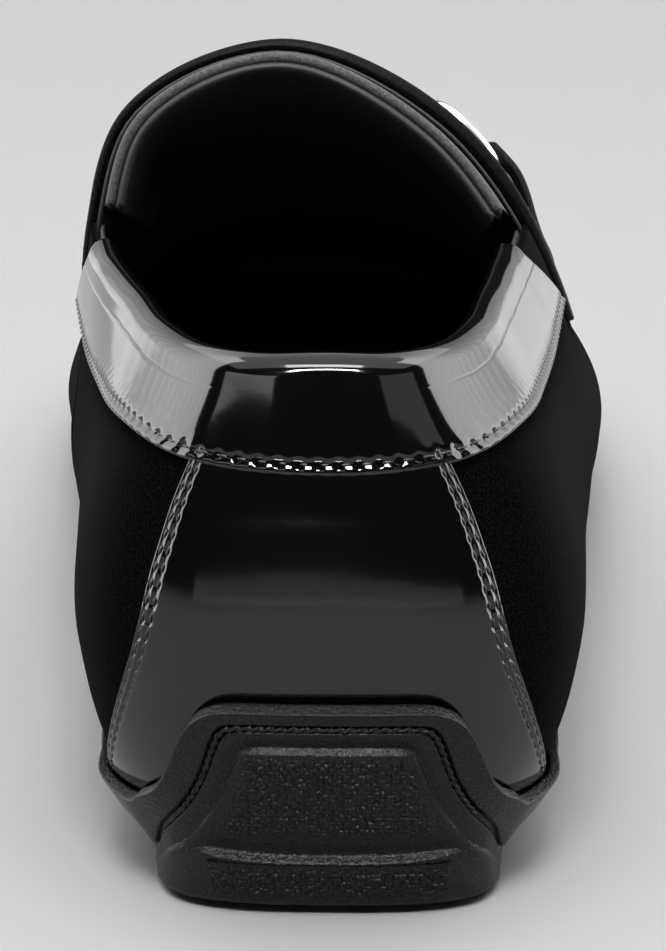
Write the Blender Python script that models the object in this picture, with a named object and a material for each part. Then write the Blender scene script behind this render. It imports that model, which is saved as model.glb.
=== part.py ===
"""Bit loafer for the right foot on a rubber driving sole: toe towards +Y, outer side towards +X, floor at Z = 0."""
import bmesh
import bpy
import numpy as np

# Tables and sizes are in millimetres from the back of the heel; MM turns them into metres
MM = 0.001
GAP = 0.35
LINING_GAP = 0.6
WALL = 2.0
HEEL_Y = 40.0
THROAT_Y = 110.0
BALL_Y = 200.0

COUNTER_THICK = 1.2
COUNTER_SHIFT = -0.8
BAND_THICK = 1.3
STRAP_THICK = 1.3
STRAP_HEM = 1.8
TONGUE_THICK = 2.2
INSOLE_THICK = 2.5
INSOLE_INSET = 2.5
ROD_RADIUS = 1.0
KEEPER_THICK = 0.9
SEAM_RISE = 1.1
SEAM_START_Y = 144.0
SEAM_RAMP = 10.0
LIP_CLEAR = 0.8
LIP_CLEAR_COUNTER = 2.25
STRAP_LEVEL = 2.15
BAND_END_LOW = 104.0
BAND_END_TOP = 85.0
GROOVE_DEPTH = 0.9
LEDGE = 1.0
FACE_TOP_Z = 32.5
FACE_TOP_OUT = 4.2
FACE_LEAN = 0.27


def table(columns, rows):
    """Rows of numbers as one array for each named column."""
    return {name: np.array(values, float) for name, values in zip(columns, zip(*rows))}


# Middle line and level heights of the last, a row for each section from heel back to toe tip
LAST = table(
    ("y", "axis_x", "ridge_x", "feather", "bulge", "shoulder", "collar", "ridge"),
    ((0.0, 0.5, -1.0, 11.0, 33.0, 56.0, 74.4, 114.0),
     (40.0, 0.0, -5.0, 10.5, 29.0, 54.0, 73.2, 114.0),
     (75.0, -0.2, -9.5, 10.8, 27.0, 53.0, 71.6, 108.0),
     (110.0, -1.0, -10.0, 10.5, 26.0, 52.0, 71.0, 99.5),
     (150.0, -1.3, -10.0, 9.0, 22.0, 42.0, 61.0, 81.0),
     (200.0, -3.0, -9.0, 7.0, 20.0, 33.0, 46.0, 58.0),
     (292.0, -9.0, -9.0, 12.5, 22.0, 32.0, 38.0, 42.0)))
# Half widths of the four lower levels along the sides
HALF = table(
    ("y", "feather", "bulge", "shoulder", "collar"),
    ((40.0, 27.0, 35.8, 32.6, 24.3),
     (75.0, 27.5, 37.7, 35.7, 30.3),
     (110.0, 30.0, 41.4, 39.4, 34.6),
     (150.0, 36.0, 45.7, 42.5, 33.3),
     (200.0, 43.0, 50.0, 44.5, 31.0)))
# Heel and toe ends of each level: where they end, how square they are, how far the level leans to the ridge
LEVELS = ("feather", "bulge", "shoulder", "collar")
ENDS = table(
    ("heel_y", "heel_power", "toe_y", "toe_power", "lean"),
    ((9.0, 3.0, 283.0, 2.40, 0.0),
     (0.0, 3.0, 292.0, 2.40, 0.0),
     (2.2, 3.1, 286.0, 2.35, 0.12),
     (6.5, 3.4, 268.0, 2.20, 0.44)))
CROWN_RISE = 0.60
CROWN_HALF = 0.72
CROWN_LEAN = 0.90
TUCK_IN = 8.0
TUCK_DOWN = 1.0
# Levels of the facets of the wall, up to the collar and over the vamp
WALL_LEVELS = np.array((0, 0.3, 0.65, 1, 1.4, 1.8, 2.2, 2.6, 2.86, 3))
VAMP_LEVELS = np.array((3, 3.14, 3.45, 3.8, 4.2, 4.6, 5))

# Outlines nested round the heel block, from the middle of the back to its side facet: distance along the
# heel and height of the lip, the inner edge of its frame, the block, its panel and the ledge low on the panel
HEEL_TAB = table(
    ("lip_s", "lip_z", "frame_s", "frame_z", "block_s", "block_z",
     "panel_s", "panel_z", "ledge_s", "ledge_z", "floor_s"),
    ((0.0, 32.5, 0.0, 29.7, 0.0, 28.4, 0.0, 26.2, 0.0, 9.2, 0.0),
     (7.0, 32.5, 6.4, 29.7, 6.0, 28.4, 5.0, 26.2, 5.8, 9.2, 7.0),
     (14.0, 32.5, 12.8, 29.7, 11.8, 28.4, 10.0, 26.2, 11.5, 9.4, 14.0),
     (17.7, 30.0, 14.6, 28.5, 13.4, 27.4, 11.6, 25.2, 13.4, 9.6, 17.5),
     (21.0, 22.3, 17.3, 20.2, 16.0, 19.8, 14.2, 17.5, 16.2, 9.8, 21.0),
     (23.6, 18.2, 21.0, 15.2, 19.8, 14.2, 18.8, 11.4, 19.4, 9.9, 25.5),
     (28.0, 15.8, 26.0, 11.0, 25.0, 10.0, 24.2, 8.4, 25.0, 6.8, 30.0)))
# Sole along the sides: top of the lip, bottom of its band and the tread
SOLE = table(
    ("y", "lip", "band", "floor"),
    ((0.0, 14.5, 6.5, 0.0),
     (30.0, 13.3, 5.4, 0.0),
     (68.0, 13.2, 5.6, 0.0),
     (72.0, 13.1, 6.0, 3.4),
     (110.0, 12.8, 6.4, 3.6),
     (136.0, 12.2, 6.0, 3.2),
     (140.0, 12.0, 5.6, 0.0),
     (200.0, 11.2, 5.0, 0.0),
     (244.0, 12.6, 5.6, 0.0),
     (266.0, 15.0, 7.4, 2.6),
     (292.0, 17.5, 9.4, 6.0)))
# Rings of the sole below the lip on its sides: share of the height of the band, and reach past the bulge line
RINGS = ("belly", "frame", "groove_top", "groove_low", "block", "border",
         "panel", "ledge", "ledge_low", "round", "floor")
RING_SHARE = dict(zip(RINGS, (1.7, 1.0, 0.96, 0.84, 0.80, 0.70, 0.62, 0.52, 0.44, 0.16, 0.0)))
SIDE_OUT = dict(zip(RINGS, (-6.0, -10.4, -11.6, -11.7, -11.2, -11.3, -11.4, -11.6, -11.7, -12.6, -14.2)))
LIP_WIDTH = 1.7
BELLY_RISE = 1.7
FOREFOOT_WIDER = 3.0
CUP_LEVEL = 0.08
CUP_STEPS = (0.0, 0.25, 0.55, 1.0)
CORNER = (20.0, 50.0)
PAD_GROOVES = (160.0, 178.0, 196.0)
PAD_GROOVE_HALF = 1.4
PAD_GROOVE_RISE = 2.0

FINISHES = {
    "velvet": ((0.012, 0.012, 0.013), 0.95, 0.0),
    "patent": ((0.010, 0.010, 0.011), 0.08, 0.0),
    "rubber": ((0.030, 0.030, 0.031), 0.70, 0.0),
    "lining": ((0.020, 0.020, 0.020), 0.85, 0.0),
    "metal": ((0.80, 0.80, 0.80), 0.15, 1.0),
}


def smooth(xs, ys, x, first=None, last=None):
    """Cubic through the points of a column, with given or natural end slopes."""
    step = np.diff(xs)
    rise = np.diff(ys) / step
    slope = np.empty_like(ys)
    slope[1:-1] = (rise[:-1] * step[1:] + rise[1:] * step[:-1]) / (step[:-1] + step[1:])
    slope[0] = rise[0] if first is None else first
    slope[-1] = rise[-1] if last is None else last
    x = np.clip(x, xs[0], xs[-1])
    i = np.clip(np.searchsorted(xs, x) - 1, 0, len(xs) - 2)
    t = (x - xs[i]) / step[i]
    start = (2 * t**3 - 3 * t**2 + 1) * ys[i] + (t**3 - 2 * t**2 + t) * step[i] * slope[i]
    return start + (3 * t**2 - 2 * t**3) * ys[i + 1] + (t**3 - t**2) * step[i] * slope[i + 1]


def column(name, y):
    return smooth(LAST["y"], LAST[name], y)


def level_line(level, q):
    """Half width and y of one level; q runs 0 to 1 round the heel, to 2 along the side, to 3 round the toe."""
    i = LEVELS.index(level)
    heel = np.clip(1 - q, 0, 1) * np.pi / 2
    toe = np.clip(q - 2, 0, 1) * np.pi / 2
    taper = (HALF[level][1] - HALF[level][0]) / (HALF["y"][1] - HALF["y"][0])
    y = HEEL_Y + (BALL_Y - HEEL_Y) * np.clip(q - 1, 0, 1)
    half = smooth(HALF["y"], HALF[level], y, taper, 0.0)
    heel_root = 2 / ENDS["heel_power"][i]
    toe_root = 2 / ENDS["toe_power"][i]
    back = (ENDS["heel_y"][i] - HEEL_Y) * np.sin(heel)**heel_root
    front = (ENDS["toe_y"][i] - BALL_Y) * np.sin(toe)**toe_root
    half = (half + taper * back) * np.abs(np.cos(heel))**heel_root * np.abs(np.cos(toe))**toe_root
    return half, y + back + front


def bulge_lengths():
    """Length along the widest line of the last for evenly stepped q."""
    q = np.linspace(0, 3, 3001)
    half, y = level_line("bulge", q)
    return q, np.concatenate([[0], np.cumsum(np.hypot(np.diff(half), np.diff(y)))])


Q_STEPS, S_STEPS = bulge_lengths()
S_END = S_STEPS[-1]


def q_at(s):
    return np.interp(np.abs(s), S_STEPS, Q_STEPS)


def s_at_y(y):
    """Distance from the heel back along the widest line, for a section on the straight sides."""
    return np.interp(1 + (np.asarray(y, float) - HEEL_Y) / (BALL_Y - HEEL_Y), Q_STEPS, S_STEPS)


def controls(q, side):
    """The six level points of the section at q: feather, bulge, shoulder, collar, crown, ridge."""
    points = []
    for level, lean in zip(LEVELS, ENDS["lean"]):
        half, y = level_line(level, q)
        axis = column("axis_x", y)
        x = axis + lean * (column("ridge_x", y) - axis) + side * half
        points.append(np.stack([x, y, column(level, y)], -1))
    collar_half = half
    collar = points[-1]
    y = np.clip(HEEL_Y + (BALL_Y - HEEL_Y) * (q - 1), HEEL_Y, BALL_Y)
    ridge = np.stack([column("ridge_x", y), y, column("ridge", y)], -1)
    y = y + CROWN_HALF * (collar[..., 1] - y)
    axis = column("axis_x", y)
    x = axis + CROWN_LEAN * (column("ridge_x", y) - axis) + side * collar_half * CROWN_HALF
    z = collar[..., 2] + CROWN_RISE * (column("ridge", y) - collar[..., 2])
    return np.stack(points + [np.stack([x, y, z], -1), ridge], -2)


def last_point(s, v):
    """Point of the last; s is the signed distance from the heel back, v the level from 0 feather to 5 ridge."""
    s, v = np.broadcast_arrays(np.asarray(s, float), np.asarray(v, float))
    s = (s + S_END) % (2 * S_END) - S_END
    side = np.where(s < 0, -1.0, 1.0)
    q = q_at(s)
    points = controls(q, side)
    pole = np.sin((np.clip(1 - q, 0, 1) + np.clip(q - 2, 0, 1)) * np.pi / 2)[..., None]
    over = (1 - pole) * controls(q, -side)[..., 4, :] + pole * (2 * points[..., 5, :] - points[..., 4, :])
    inward = points[..., 0, :] - points[..., 1, :]
    inward[..., 2] = 0
    under = points[..., 0, :] + TUCK_IN * inward / np.linalg.norm(inward, axis=-1, keepdims=True)
    under[..., 2] -= TUCK_DOWN
    points = np.concatenate([under[..., None, :], points, over[..., None, :]], -2)
    i = np.clip(np.floor(v).astype(int), 0, 4)
    t = (v - i)[..., None]
    near = [np.take_along_axis(points, (i + k)[..., None, None], -2)[..., 0, :] for k in range(4)]
    steps = [near[k + 1] - near[k] for k in range(3)]
    a, b, c = [np.linalg.norm(step, axis=-1, keepdims=True) + 1e-9 for step in steps]
    start = (steps[0] / a * b + steps[1] / b * a) / (a + b) * b
    end = (steps[1] / b * c + steps[2] / c * b) / (b + c) * b
    blend = (2 * t**3 - 3 * t**2 + 1) * near[1] + (t**3 - 2 * t**2 + t) * start
    return blend + (3 * t**2 - 2 * t**3) * near[2] + (t**3 - t**2) * end


def last_normal(s, v):
    """Outward unit normal of the last; on the ridge, the mean of its two sides."""
    s, v = np.broadcast_arrays(np.asarray(s, float), np.asarray(v, float))
    ds = 0.4
    dv = 0.02
    v_in = np.clip(v, dv, 5 - 2 * dv)
    mean = 0
    for sign in (1, -1):
        at = s * sign
        along = last_point(at + ds, v_in) - last_point(at - ds, v_in)
        up = last_point(at, v_in + dv) - last_point(at, v_in - dv)
        normal = np.cross(along, up)
        normal = normal / np.linalg.norm(normal, axis=-1, keepdims=True)
        weight = np.where(v > 5 - 2 * dv, 0.5, 1.0 if sign == 1 else 0.0)[..., None]
        mean = mean + weight * normal
    return mean / np.linalg.norm(mean, axis=-1, keepdims=True)


def shell(s, v, out=0.0):
    """Point at a distance out from the last."""
    s, v, out = np.broadcast_arrays(np.asarray(s, float), np.asarray(v, float), np.asarray(out, float))
    return last_point(s, v) + out[..., None] * last_normal(s, v)


def level_at_z(s, z):
    """Level v at which each column s of the last reaches height z, below the collar."""
    levels = np.linspace(0, 3, 61)
    heights = last_point(np.asarray(s, float)[..., None], levels)[..., 2]
    flat = [np.interp(goal, row, levels) for goal, row in zip(np.ravel(z), heights.reshape(-1, levels.size))]
    return np.array(flat).reshape(np.shape(z))


def finish_material(name):
    colour, roughness, metallic = FINISHES[name]
    material = bpy.data.materials.get(name) or bpy.data.materials.new(name)
    material.use_nodes = True
    shader = material.node_tree.nodes["Principled BSDF"]
    shader.inputs["Base Color"].default_value = (*colour, 1.0)
    shader.inputs["Roughness"].default_value = roughness
    shader.inputs["Metallic"].default_value = metallic
    return material


def add_object(name, points, faces, finish, shoe):
    """Closed mesh object from points in millimetres, with doubled points merged and faces turned outwards."""
    mesh = bpy.data.meshes.new(name)
    mesh.from_pydata((np.asarray(points) * MM).tolist(), [], faces)
    work = bmesh.new()
    work.from_mesh(mesh)
    bmesh.ops.remove_doubles(work, verts=work.verts, dist=1e-6)
    bmesh.ops.dissolve_degenerate(work, edges=work.edges, dist=1e-6)
    bmesh.ops.recalc_face_normals(work, faces=work.faces)
    if work.calc_volume(signed=True) < 0:
        bmesh.ops.reverse_faces(work, faces=work.faces)
    work.to_mesh(mesh)
    work.free()
    mesh.shade_smooth()
    mesh.set_sharp_from_angle(angle=0.7)
    item = bpy.data.objects.new(name, mesh)
    item.data.materials.append(finish_material(finish))
    item.parent = shoe
    bpy.context.collection.objects.link(item)
    return item


def grid_faces(rows, columns, first=0, wrap=False):
    """Quads of a grid of points stored row by row."""
    faces = []
    for i in range(rows - 1):
        for j in range(columns if wrap else columns - 1):
            k = (j + 1) % columns
            faces.append((first + i * columns + j, first + i * columns + k,
                          first + (i + 1) * columns + k, first + (i + 1) * columns + j))
    return faces


def add_slab(name, outer, inner, finish, shoe):
    """Closed plate between two grids of points with the same rows and columns."""
    rows, columns = outer.shape[:2]
    count = rows * columns
    faces = grid_faces(rows, columns) + grid_faces(rows, columns, count)
    border = [j for j in range(columns)] + [i * columns + columns - 1 for i in range(1, rows)]
    border += [(rows - 1) * columns + j for j in range(columns - 2, -1, -1)]
    border += [i * columns for i in range(rows - 2, 0, -1)]
    for a, b in zip(border, border[1:] + border[:1]):
        faces.append((a, b, count + b, count + a))
    return add_object(name, np.concatenate([outer.reshape(-1, 3), inner.reshape(-1, 3)]), faces, finish, shoe)


def add_tube(name, path, normal, radius, closed, finish, shoe, sides=7):
    """Rod of round section along a path, its section set out from the path's own normals."""
    if closed:
        ahead = np.roll(path, -1, 0) - np.roll(path, 1, 0)
    else:
        ahead = np.gradient(path, axis=0)
    across = np.cross(ahead, normal)
    across /= np.linalg.norm(across, axis=1, keepdims=True)
    angle = np.arange(sides) * 2 * np.pi / sides
    ring = np.cos(angle)[None, :, None] * across[:, None] + np.sin(angle)[None, :, None] * normal[:, None]
    points = path[:, None] + ring * np.broadcast_to(radius, len(path))[:, None, None]
    if closed:
        points = np.concatenate([points, points[:1]])
    faces = grid_faces(len(points), sides, wrap=True)
    if not closed:
        faces.append(tuple(range(sides)))
        faces.append(tuple(range((len(points) - 1) * sides, len(points) * sides)))
    return add_object(name, points.reshape(-1, 3), faces, finish, shoe)


def side_columns():
    """Column positions of the upper for one side: heel fan, rear quarter, vamp, toe fan."""
    heel = np.linspace(0, s_at_y(HEEL_Y), 10)
    quarter = np.linspace(heel[-1], s_at_y(THROAT_Y), 10)[1:]
    vamp = np.linspace(quarter[-1], s_at_y(BALL_Y), 11)[1:]
    toe = np.linspace(vamp[-1], S_END, 13)[1:]
    return np.concatenate([heel, quarter]), np.concatenate([quarter[-1:], vamp, toe])


def seam_rise(s, v):
    """Height of the raised apron seam, which follows the collar level round the toe from under the strap."""
    start = np.clip((np.abs(s) - s_at_y(SEAM_START_Y)) / SEAM_RAMP, 0, 1)
    return SEAM_RISE * start * np.clip(1 - np.abs(v - 3) / 0.14, 0, 1)


def build_upper(shoe):
    """Hollow wall on the last, open at collar and throat and under the foot."""
    rear, front = side_columns()
    full = np.concatenate([WALL_LEVELS, VAMP_LEVELS[1:]])
    points = []
    faces = []
    for side in (-1, 1):
        for columns, levels in ((rear, WALL_LEVELS), (front, full)):
            s, v = np.meshgrid(side * columns, levels, indexing="ij")
            grid = shell(s, v, seam_rise(s, v)) if columns is front else last_point(s, v)
            new = grid_faces(len(columns), len(levels), len(points))
            faces += new if side > 0 else [face[::-1] for face in new]
            points += grid.reshape(-1, 3).tolist()
    upper = add_object("upper", points, faces, "velvet", shoe)
    wall = upper.modifiers.new("wall", "SOLIDIFY")
    wall.thickness = WALL * MM
    wall.offset = -1.0
    wall.use_even_offset = True
    return upper


def sole_columns():
    """Columns of the sole past the heel tab: rest of the heel fan, sides with pad grooves, toe fan."""
    heel = np.linspace(34.0, s_at_y(HEEL_Y), 5)
    plain = [54, 68, 72, 84, 97, 110, 123, 136, 140, 150, 169, 187]
    grooves = [y + d for y in PAD_GROOVES for d in (-PAD_GROOVE_HALF - 0.5, -PAD_GROOVE_HALF + 0.3,
                                                    PAD_GROOVE_HALF - 0.3, PAD_GROOVE_HALF + 0.5)]
    along = np.array(sorted(plain + grooves))
    toe = np.linspace(s_at_y(BALL_Y), S_END, 13)
    return np.concatenate([heel, s_at_y(along), toe])


def sole_profile(name, y):
    return np.interp(y, SOLE["y"], SOLE[name])


def sole_rim(s):
    """Widest line of the last and its outward direction in plan."""
    here = last_point(s, 1.0)[..., :2]
    ahead = last_point(s + 0.5, 1.0)[..., :2] - last_point(s - 0.5, 1.0)[..., :2]
    outward = np.stack([ahead[..., 1], -ahead[..., 0]], -1)
    return here, outward / np.linalg.norm(outward, axis=-1, keepdims=True)


def sole_point(s, out, z):
    here, outward = sole_rim(s)
    return np.concatenate([here + out[..., None] * outward, z[..., None]], -1)


def heel_face(z):
    """Reach of the leaning back face of the heel block past the widest line, at height z."""
    return FACE_TOP_OUT - FACE_LEAN * (FACE_TOP_Z - z)


def side_share(s):
    """How far a column has gone over from the leaning back of the heel, 0, to the side of the sole, 1."""
    t = np.clip((s - CORNER[0]) / (CORNER[1] - CORNER[0]), 0, 1)
    return t * t * (3 - 2 * t)


def sole_rings(side):
    """Points of one side of the sole, ring by ring from the bed over the lip to the floor."""
    tab = HEEL_TAB
    rest = sole_columns()
    y = last_point(rest, 1.0)[..., 1]
    lip_z = np.concatenate([tab["lip_z"], sole_profile("lip", y)])
    lip_s = np.concatenate([tab["lip_s"], rest])
    share = side_share(lip_s)
    clear = np.interp(lip_s, (42.0, 52.0), (LIP_CLEAR_COUNTER, LIP_CLEAR))
    bed = last_point(side * lip_s, 0.0)
    bed[..., 2] -= GAP
    rise = level_at_z(side * lip_s, lip_z) - CUP_LEVEL
    cup = [shell(side * lip_s, CUP_LEVEL + step * rise, clear) for step in CUP_STEPS]
    cup[-1][..., 2] = lip_z
    here, outward = sole_rim(side * lip_s)
    side_lip = ((cup[-1][..., :2] - here) * outward).sum(-1) + LIP_WIDTH
    lip_out = (1 - share) * heel_face(lip_z) + share * side_lip
    rings = [bed, *cup, sole_point(side * lip_s, lip_out, lip_z)]

    band = sole_profile("band", y)
    floor = sole_profile("floor", y)
    groove = np.array([np.any(np.abs(value - np.array(PAD_GROOVES)) < PAD_GROOVE_HALF) for value in y])
    tread = floor + np.where(groove, PAD_GROOVE_RISE, 0.0)
    wider = FOREFOOT_WIDER * np.interp(np.concatenate([0 * tab["lip_s"], y]), (110.0, 150.0), (0.0, 1.0))
    quarter = {"groove_top": 0.3, "groove_low": 0.7}
    for name in RINGS:
        if name == "belly":
            tab_s = (tab["lip_s"] + tab["frame_s"]) / 2
            tab_z = (tab["lip_z"] + tab["frame_z"]) / 2
            proud = 0.0
        elif name in quarter:
            part = quarter[name]
            tab_s = (1 - part) * tab["frame_s"] + part * tab["block_s"]
            tab_z = (1 - part) * tab["frame_z"] + part * tab["block_z"]
            proud = -GROOVE_DEPTH
        elif name in ("border", "panel"):
            drop = LEDGE if name == "panel" else 0.0
            tab_s = tab["panel_s"]
            tab_z = tab["panel_z"] - drop * np.array([1, 1, 1, 1, 0.6, 0.4, 0.4])
            proud = 1.1 * drop - 0.5
        elif name in ("ledge", "ledge_low"):
            drop = LEDGE if name == "ledge_low" else 0.0
            tab_s = tab["ledge_s"]
            tab_z = tab["ledge_z"] - 0.9 * drop
            proud = 0.6 + drop
        elif name in ("round", "floor"):
            tab_s = tab["floor_s"]
            tab_z = np.full(len(tab_s), 1.5 if name == "round" else 0.0)
            proud = 1.2 if name == "round" else -1.6
        else:
            tab_s = tab[name + "_s"]
            tab_z = tab[name + "_z"]
            proud = -0.1
        low = tread if name in ("round", "floor") else floor
        z = np.concatenate([tab_z, low + RING_SHARE[name] * (band - low)])
        s = np.concatenate([tab_s, rest])
        share = side_share(s)
        side_out = SIDE_OUT[name] + wider
        if name == "belly":
            side_out = (side_lip + SIDE_OUT["frame"] + wider) / 2 + BELLY_RISE
        out = (1 - share) * (heel_face(z) + proud) + share * side_out
        rings.append(sole_point(side * s, out, z))
    return np.array(rings)


def build_outsole(shoe):
    """Cup sole: both sides ring by ring, closed across the bed and the tread."""
    sides = [sole_rings(side) for side in (-1, 1)]
    rings, columns = sides[0].shape[:2]
    count = rings * columns
    faces = grid_faces(rings, columns)
    faces += [face[::-1] for face in grid_faces(rings, columns, count)]
    for row in (0, rings - 1):
        for j in range(row * columns, row * columns + columns - 1):
            faces.append((j, j + 1, count + j + 1, count + j))
    return add_object("outsole", np.concatenate([part.reshape(-1, 3) for part in sides]), faces, "rubber", shoe)


def build_insole(shoe):
    """Board lying on the bed of the sole, inside the wall of the upper."""
    steps = np.concatenate([np.linspace(0, s_at_y(HEEL_Y), 8), np.linspace(s_at_y(HEEL_Y), s_at_y(BALL_Y), 12)[1:],
                            np.linspace(s_at_y(BALL_Y), S_END, 10)[1:]])
    edge = np.stack([last_point(side * steps, 0.0) for side in (-1, 1)])
    inward = edge - np.stack([last_point(side * steps, 1.0) for side in (-1, 1)])
    inward[..., 2] = 0
    under = edge + INSOLE_INSET * inward / np.linalg.norm(inward, axis=-1, keepdims=True)
    over = under + np.array([0, 0, INSOLE_THICK])
    return add_slab("insole", over, under, "lining", shoe)


def build_tongue(shoe):
    """Flap under the vamp, a little longer than the throat, with round lower corners."""
    front = side_columns()[1][:6]
    along = np.concatenate([s_at_y((105.5, 107.5)), front])
    corner = np.array((0.30, 0.14, 0.04, 0.0, 0.0, 0.0, 0.0, 0.0))
    lower = VAMP_LEVELS[1:]
    v = lower[:, None] + corner * (5 - lower[:, None]) / (5 - lower[0])
    v = np.concatenate([v, v[-2::-1]])
    side = np.where(np.arange(len(v)) < len(lower), -1.0, 1.0)[:, None]
    s = side * along
    top = WALL + LINING_GAP
    return add_slab("tongue", shell(s, v, -top), shell(s, v, -top - TONGUE_THICK), "lining", shoe)


def band_level(s):
    """Level of the lower edge of the collar band, a little higher at the corners of the heel."""
    return smooth(np.array((0.0, 20.0, 40.0, 62.0, 97.0, 128.0)),
                  np.array((2.30, 2.35, 2.43, 2.39, 2.33, 2.36)), np.abs(s), 0.0)


def build_heel_counter(shoe):
    """Overlay on the back of the heel, spreading downwards."""
    share = np.linspace(0.06, 1, 12)[:, None]
    edge = np.interp(share, (0.0, 0.1, 0.2, 0.3, 0.45, 0.7, 1.0), (43.0, 41.0, 35.6, 31.1, 26.6, 23.6, 21.2))
    s = np.linspace(-1, 1, 15)[None, :] * edge + COUNTER_SHIFT
    v = share * (band_level(s) - 0.02)
    return add_slab("heel_counter", shell(s, v, GAP + COUNTER_THICK), shell(s, v, GAP), "patent", shoe)


def build_collar_band(shoe):
    """Binding folded over the top line: outer leaf, round edge, short inner leaf."""
    across = np.linspace(-1, 1, 35)[None, :]
    share = np.linspace(0, 1, 4)[:, None]
    s = across * ((1 - share) * s_at_y(BAND_END_LOW) + share * s_at_y(BAND_END_TOP))
    v = band_level(s) + share * (3 - band_level(s))
    outer = [shell(s, v, GAP + BAND_THICK)]
    inner = [shell(s, v, GAP)]
    s = across[0] * s_at_y(BAND_END_TOP)
    edge = last_point(s, 3.0)
    out = last_normal(s, 3.0)
    up = edge - last_point(s, 2.95)
    up /= np.linalg.norm(up, axis=-1, keepdims=True)
    radius = WALL / 2 + GAP + BAND_THICK
    hem = 6.0
    roll = [(radius * np.cos(a) - WALL / 2, radius * np.sin(a)) for a in np.radians((35, 70, 110, 145))]
    roll += [(-WALL - LINING_GAP - BAND_THICK, -1.0), (-WALL - LINING_GAP - BAND_THICK, -hem)]
    core = [(GAP, GAP), (-0.3, GAP), (-WALL + 0.3, GAP), (-WALL - LINING_GAP, GAP)]
    core += [(-WALL - LINING_GAP, -1.0), (-WALL - LINING_GAP, -hem)]
    for leaf, rows in ((outer, roll), (inner, core)):
        leaf.append(np.stack([edge + n * out + t * up for n, t in rows]))
    return add_slab("collar_band", np.concatenate(outer), np.concatenate(inner), "patent", shoe)


def build_saddle_strap(shoe):
    """Strap across the instep in front of the throat, with a turned hem along its rear edge."""
    y = np.array((111.5, 115.5, 117.0, 125.0, 133.0, 141.0))
    step = np.linspace(-1, 1, 27)[:, None]
    v = 5 - np.abs(step) * (5 - STRAP_LEVEL) + 0 * y
    thick = np.where(y < 116, STRAP_HEM, STRAP_THICK) * np.interp(v, (2.6, 3.4), (0.6, 1.0))
    s = np.where(step < 0, -1, 1) * s_at_y(y)
    return add_slab("saddle_strap", shell(s, v, GAP + thick), shell(s, v, GAP), "patent", shoe)


# Snaffle bit on the strap, set out in levels from the ridge, outer side positive: middle and reach of the rings
BIT_Y = 131.5
RING_AT = {"medial": -0.44, "lateral": 1.16}
RING_TILT = {"medial": 0.0, "lateral": 2.4}
RING_REACH_Y = 6.0
RING_REACH = 0.30
KEEPER_REACH = 0.24
KEEPER_BACK = {"medial": 2.5, "lateral": 3.6}
KEEPER_FRONT = 3.5
STRAP_TOP = GAP + STRAP_THICK


def strap_point(y, level, out):
    """Point over the strap at a level from the ridge, and the normal there."""
    s = np.where(level < 0, -1, 1) * s_at_y(y)
    v = 5 - np.abs(level)
    return shell(s, v, STRAP_TOP + out), last_normal(s, v)


def build_bit_ring(name, shoe):
    """Rounded square ring on the strap, tilted up from its outer rod."""
    turn = np.linspace(0, 2 * np.pi, 24, endpoint=False)
    corner = 0.62
    y = BIT_Y + RING_REACH_Y * np.sign(np.cos(turn)) * np.abs(np.cos(turn))**corner
    across = np.sign(np.sin(turn)) * np.abs(np.sin(turn))**corner
    lift = RING_TILT[name] * (1 - np.sign(RING_AT[name]) * across) / 2
    path, normal = strap_point(y, RING_AT[name] + RING_REACH * across, GAP + ROD_RADIUS + lift)
    return add_tube("bit_ring_" + name, path, normal, ROD_RADIUS, True, "metal", shoe)


def build_bit_bar(shoe):
    """Bar between the rings, swelling into two links at the middle."""
    reach = RING_REACH + 0.13
    level = np.linspace(RING_AT["medial"] + reach, RING_AT["lateral"] - reach, 19)
    step = np.abs(np.linspace(-1, 1, 19))
    radius = 0.9 + 0.4 * np.exp(-((step - 0.28) / 0.16)**2) + 0.2 * np.exp(-((step - 1) / 0.1)**2)
    lift = np.linspace(RING_TILT["medial"], RING_TILT["lateral"], 19)
    path, normal = strap_point(np.full(19, BIT_Y), level, GAP + radius + lift)
    return add_tube("bit_bar", path, normal, radius, False, "metal", shoe)


def build_bit_keeper(name, shoe):
    """Short leather loop over the outer rod of a ring."""
    rod = RING_AT[name] + np.sign(RING_AT[name]) * RING_REACH
    y = np.linspace(BIT_Y - KEEPER_BACK[name], BIT_Y + KEEPER_FRONT, 3)[:, None]
    level = rod + KEEPER_REACH * np.linspace(-1, 1, 13)[None, :]
    hump = np.clip(1.7 * (1 - np.abs(level - rod) / KEEPER_REACH), 0, 1)
    low = GAP + (2 * (ROD_RADIUS + GAP) + 0.25 * RING_TILT[name]) * hump * hump * (3 - 2 * hump)
    y, level, low = np.broadcast_arrays(y, level, low)
    top = strap_point(y, level, low + KEEPER_THICK)[0]
    return add_slab("bit_keeper_" + name, top, strap_point(y, level, low)[0], "patent", shoe)


def centre_on_floor(shoe):
    """Put the shoe's box with the middle of its foot on the origin."""
    bpy.context.view_layer.update()
    view = bpy.context.evaluated_depsgraph_get()
    corners = []
    for item in shoe.children:
        seen = item.evaluated_get(view)
        mesh = seen.to_mesh()
        place = np.empty(len(mesh.vertices) * 3)
        mesh.vertices.foreach_get("co", place)
        corners.append(place.reshape(-1, 3))
        seen.to_mesh_clear()
    every = np.concatenate(corners)
    low = every.min(0)
    high = every.max(0)
    shoe.location = (-(low[0] + high[0]) / 2, -(low[1] + high[1]) / 2, -low[2])
    bpy.context.view_layer.update()


def main():
    for item in list(bpy.data.objects):
        bpy.data.objects.remove(item)
    shoe = bpy.data.objects.new("shoe", None)
    bpy.context.collection.objects.link(shoe)
    build_outsole(shoe)
    build_upper(shoe)
    build_insole(shoe)
    build_tongue(shoe)
    build_heel_counter(shoe)
    build_collar_band(shoe)
    build_saddle_strap(shoe)
    build_bit_bar(shoe)
    for name in RING_AT:
        build_bit_ring(name, shoe)
        build_bit_keeper(name, shoe)
    centre_on_floor(shoe)


main()
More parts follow.
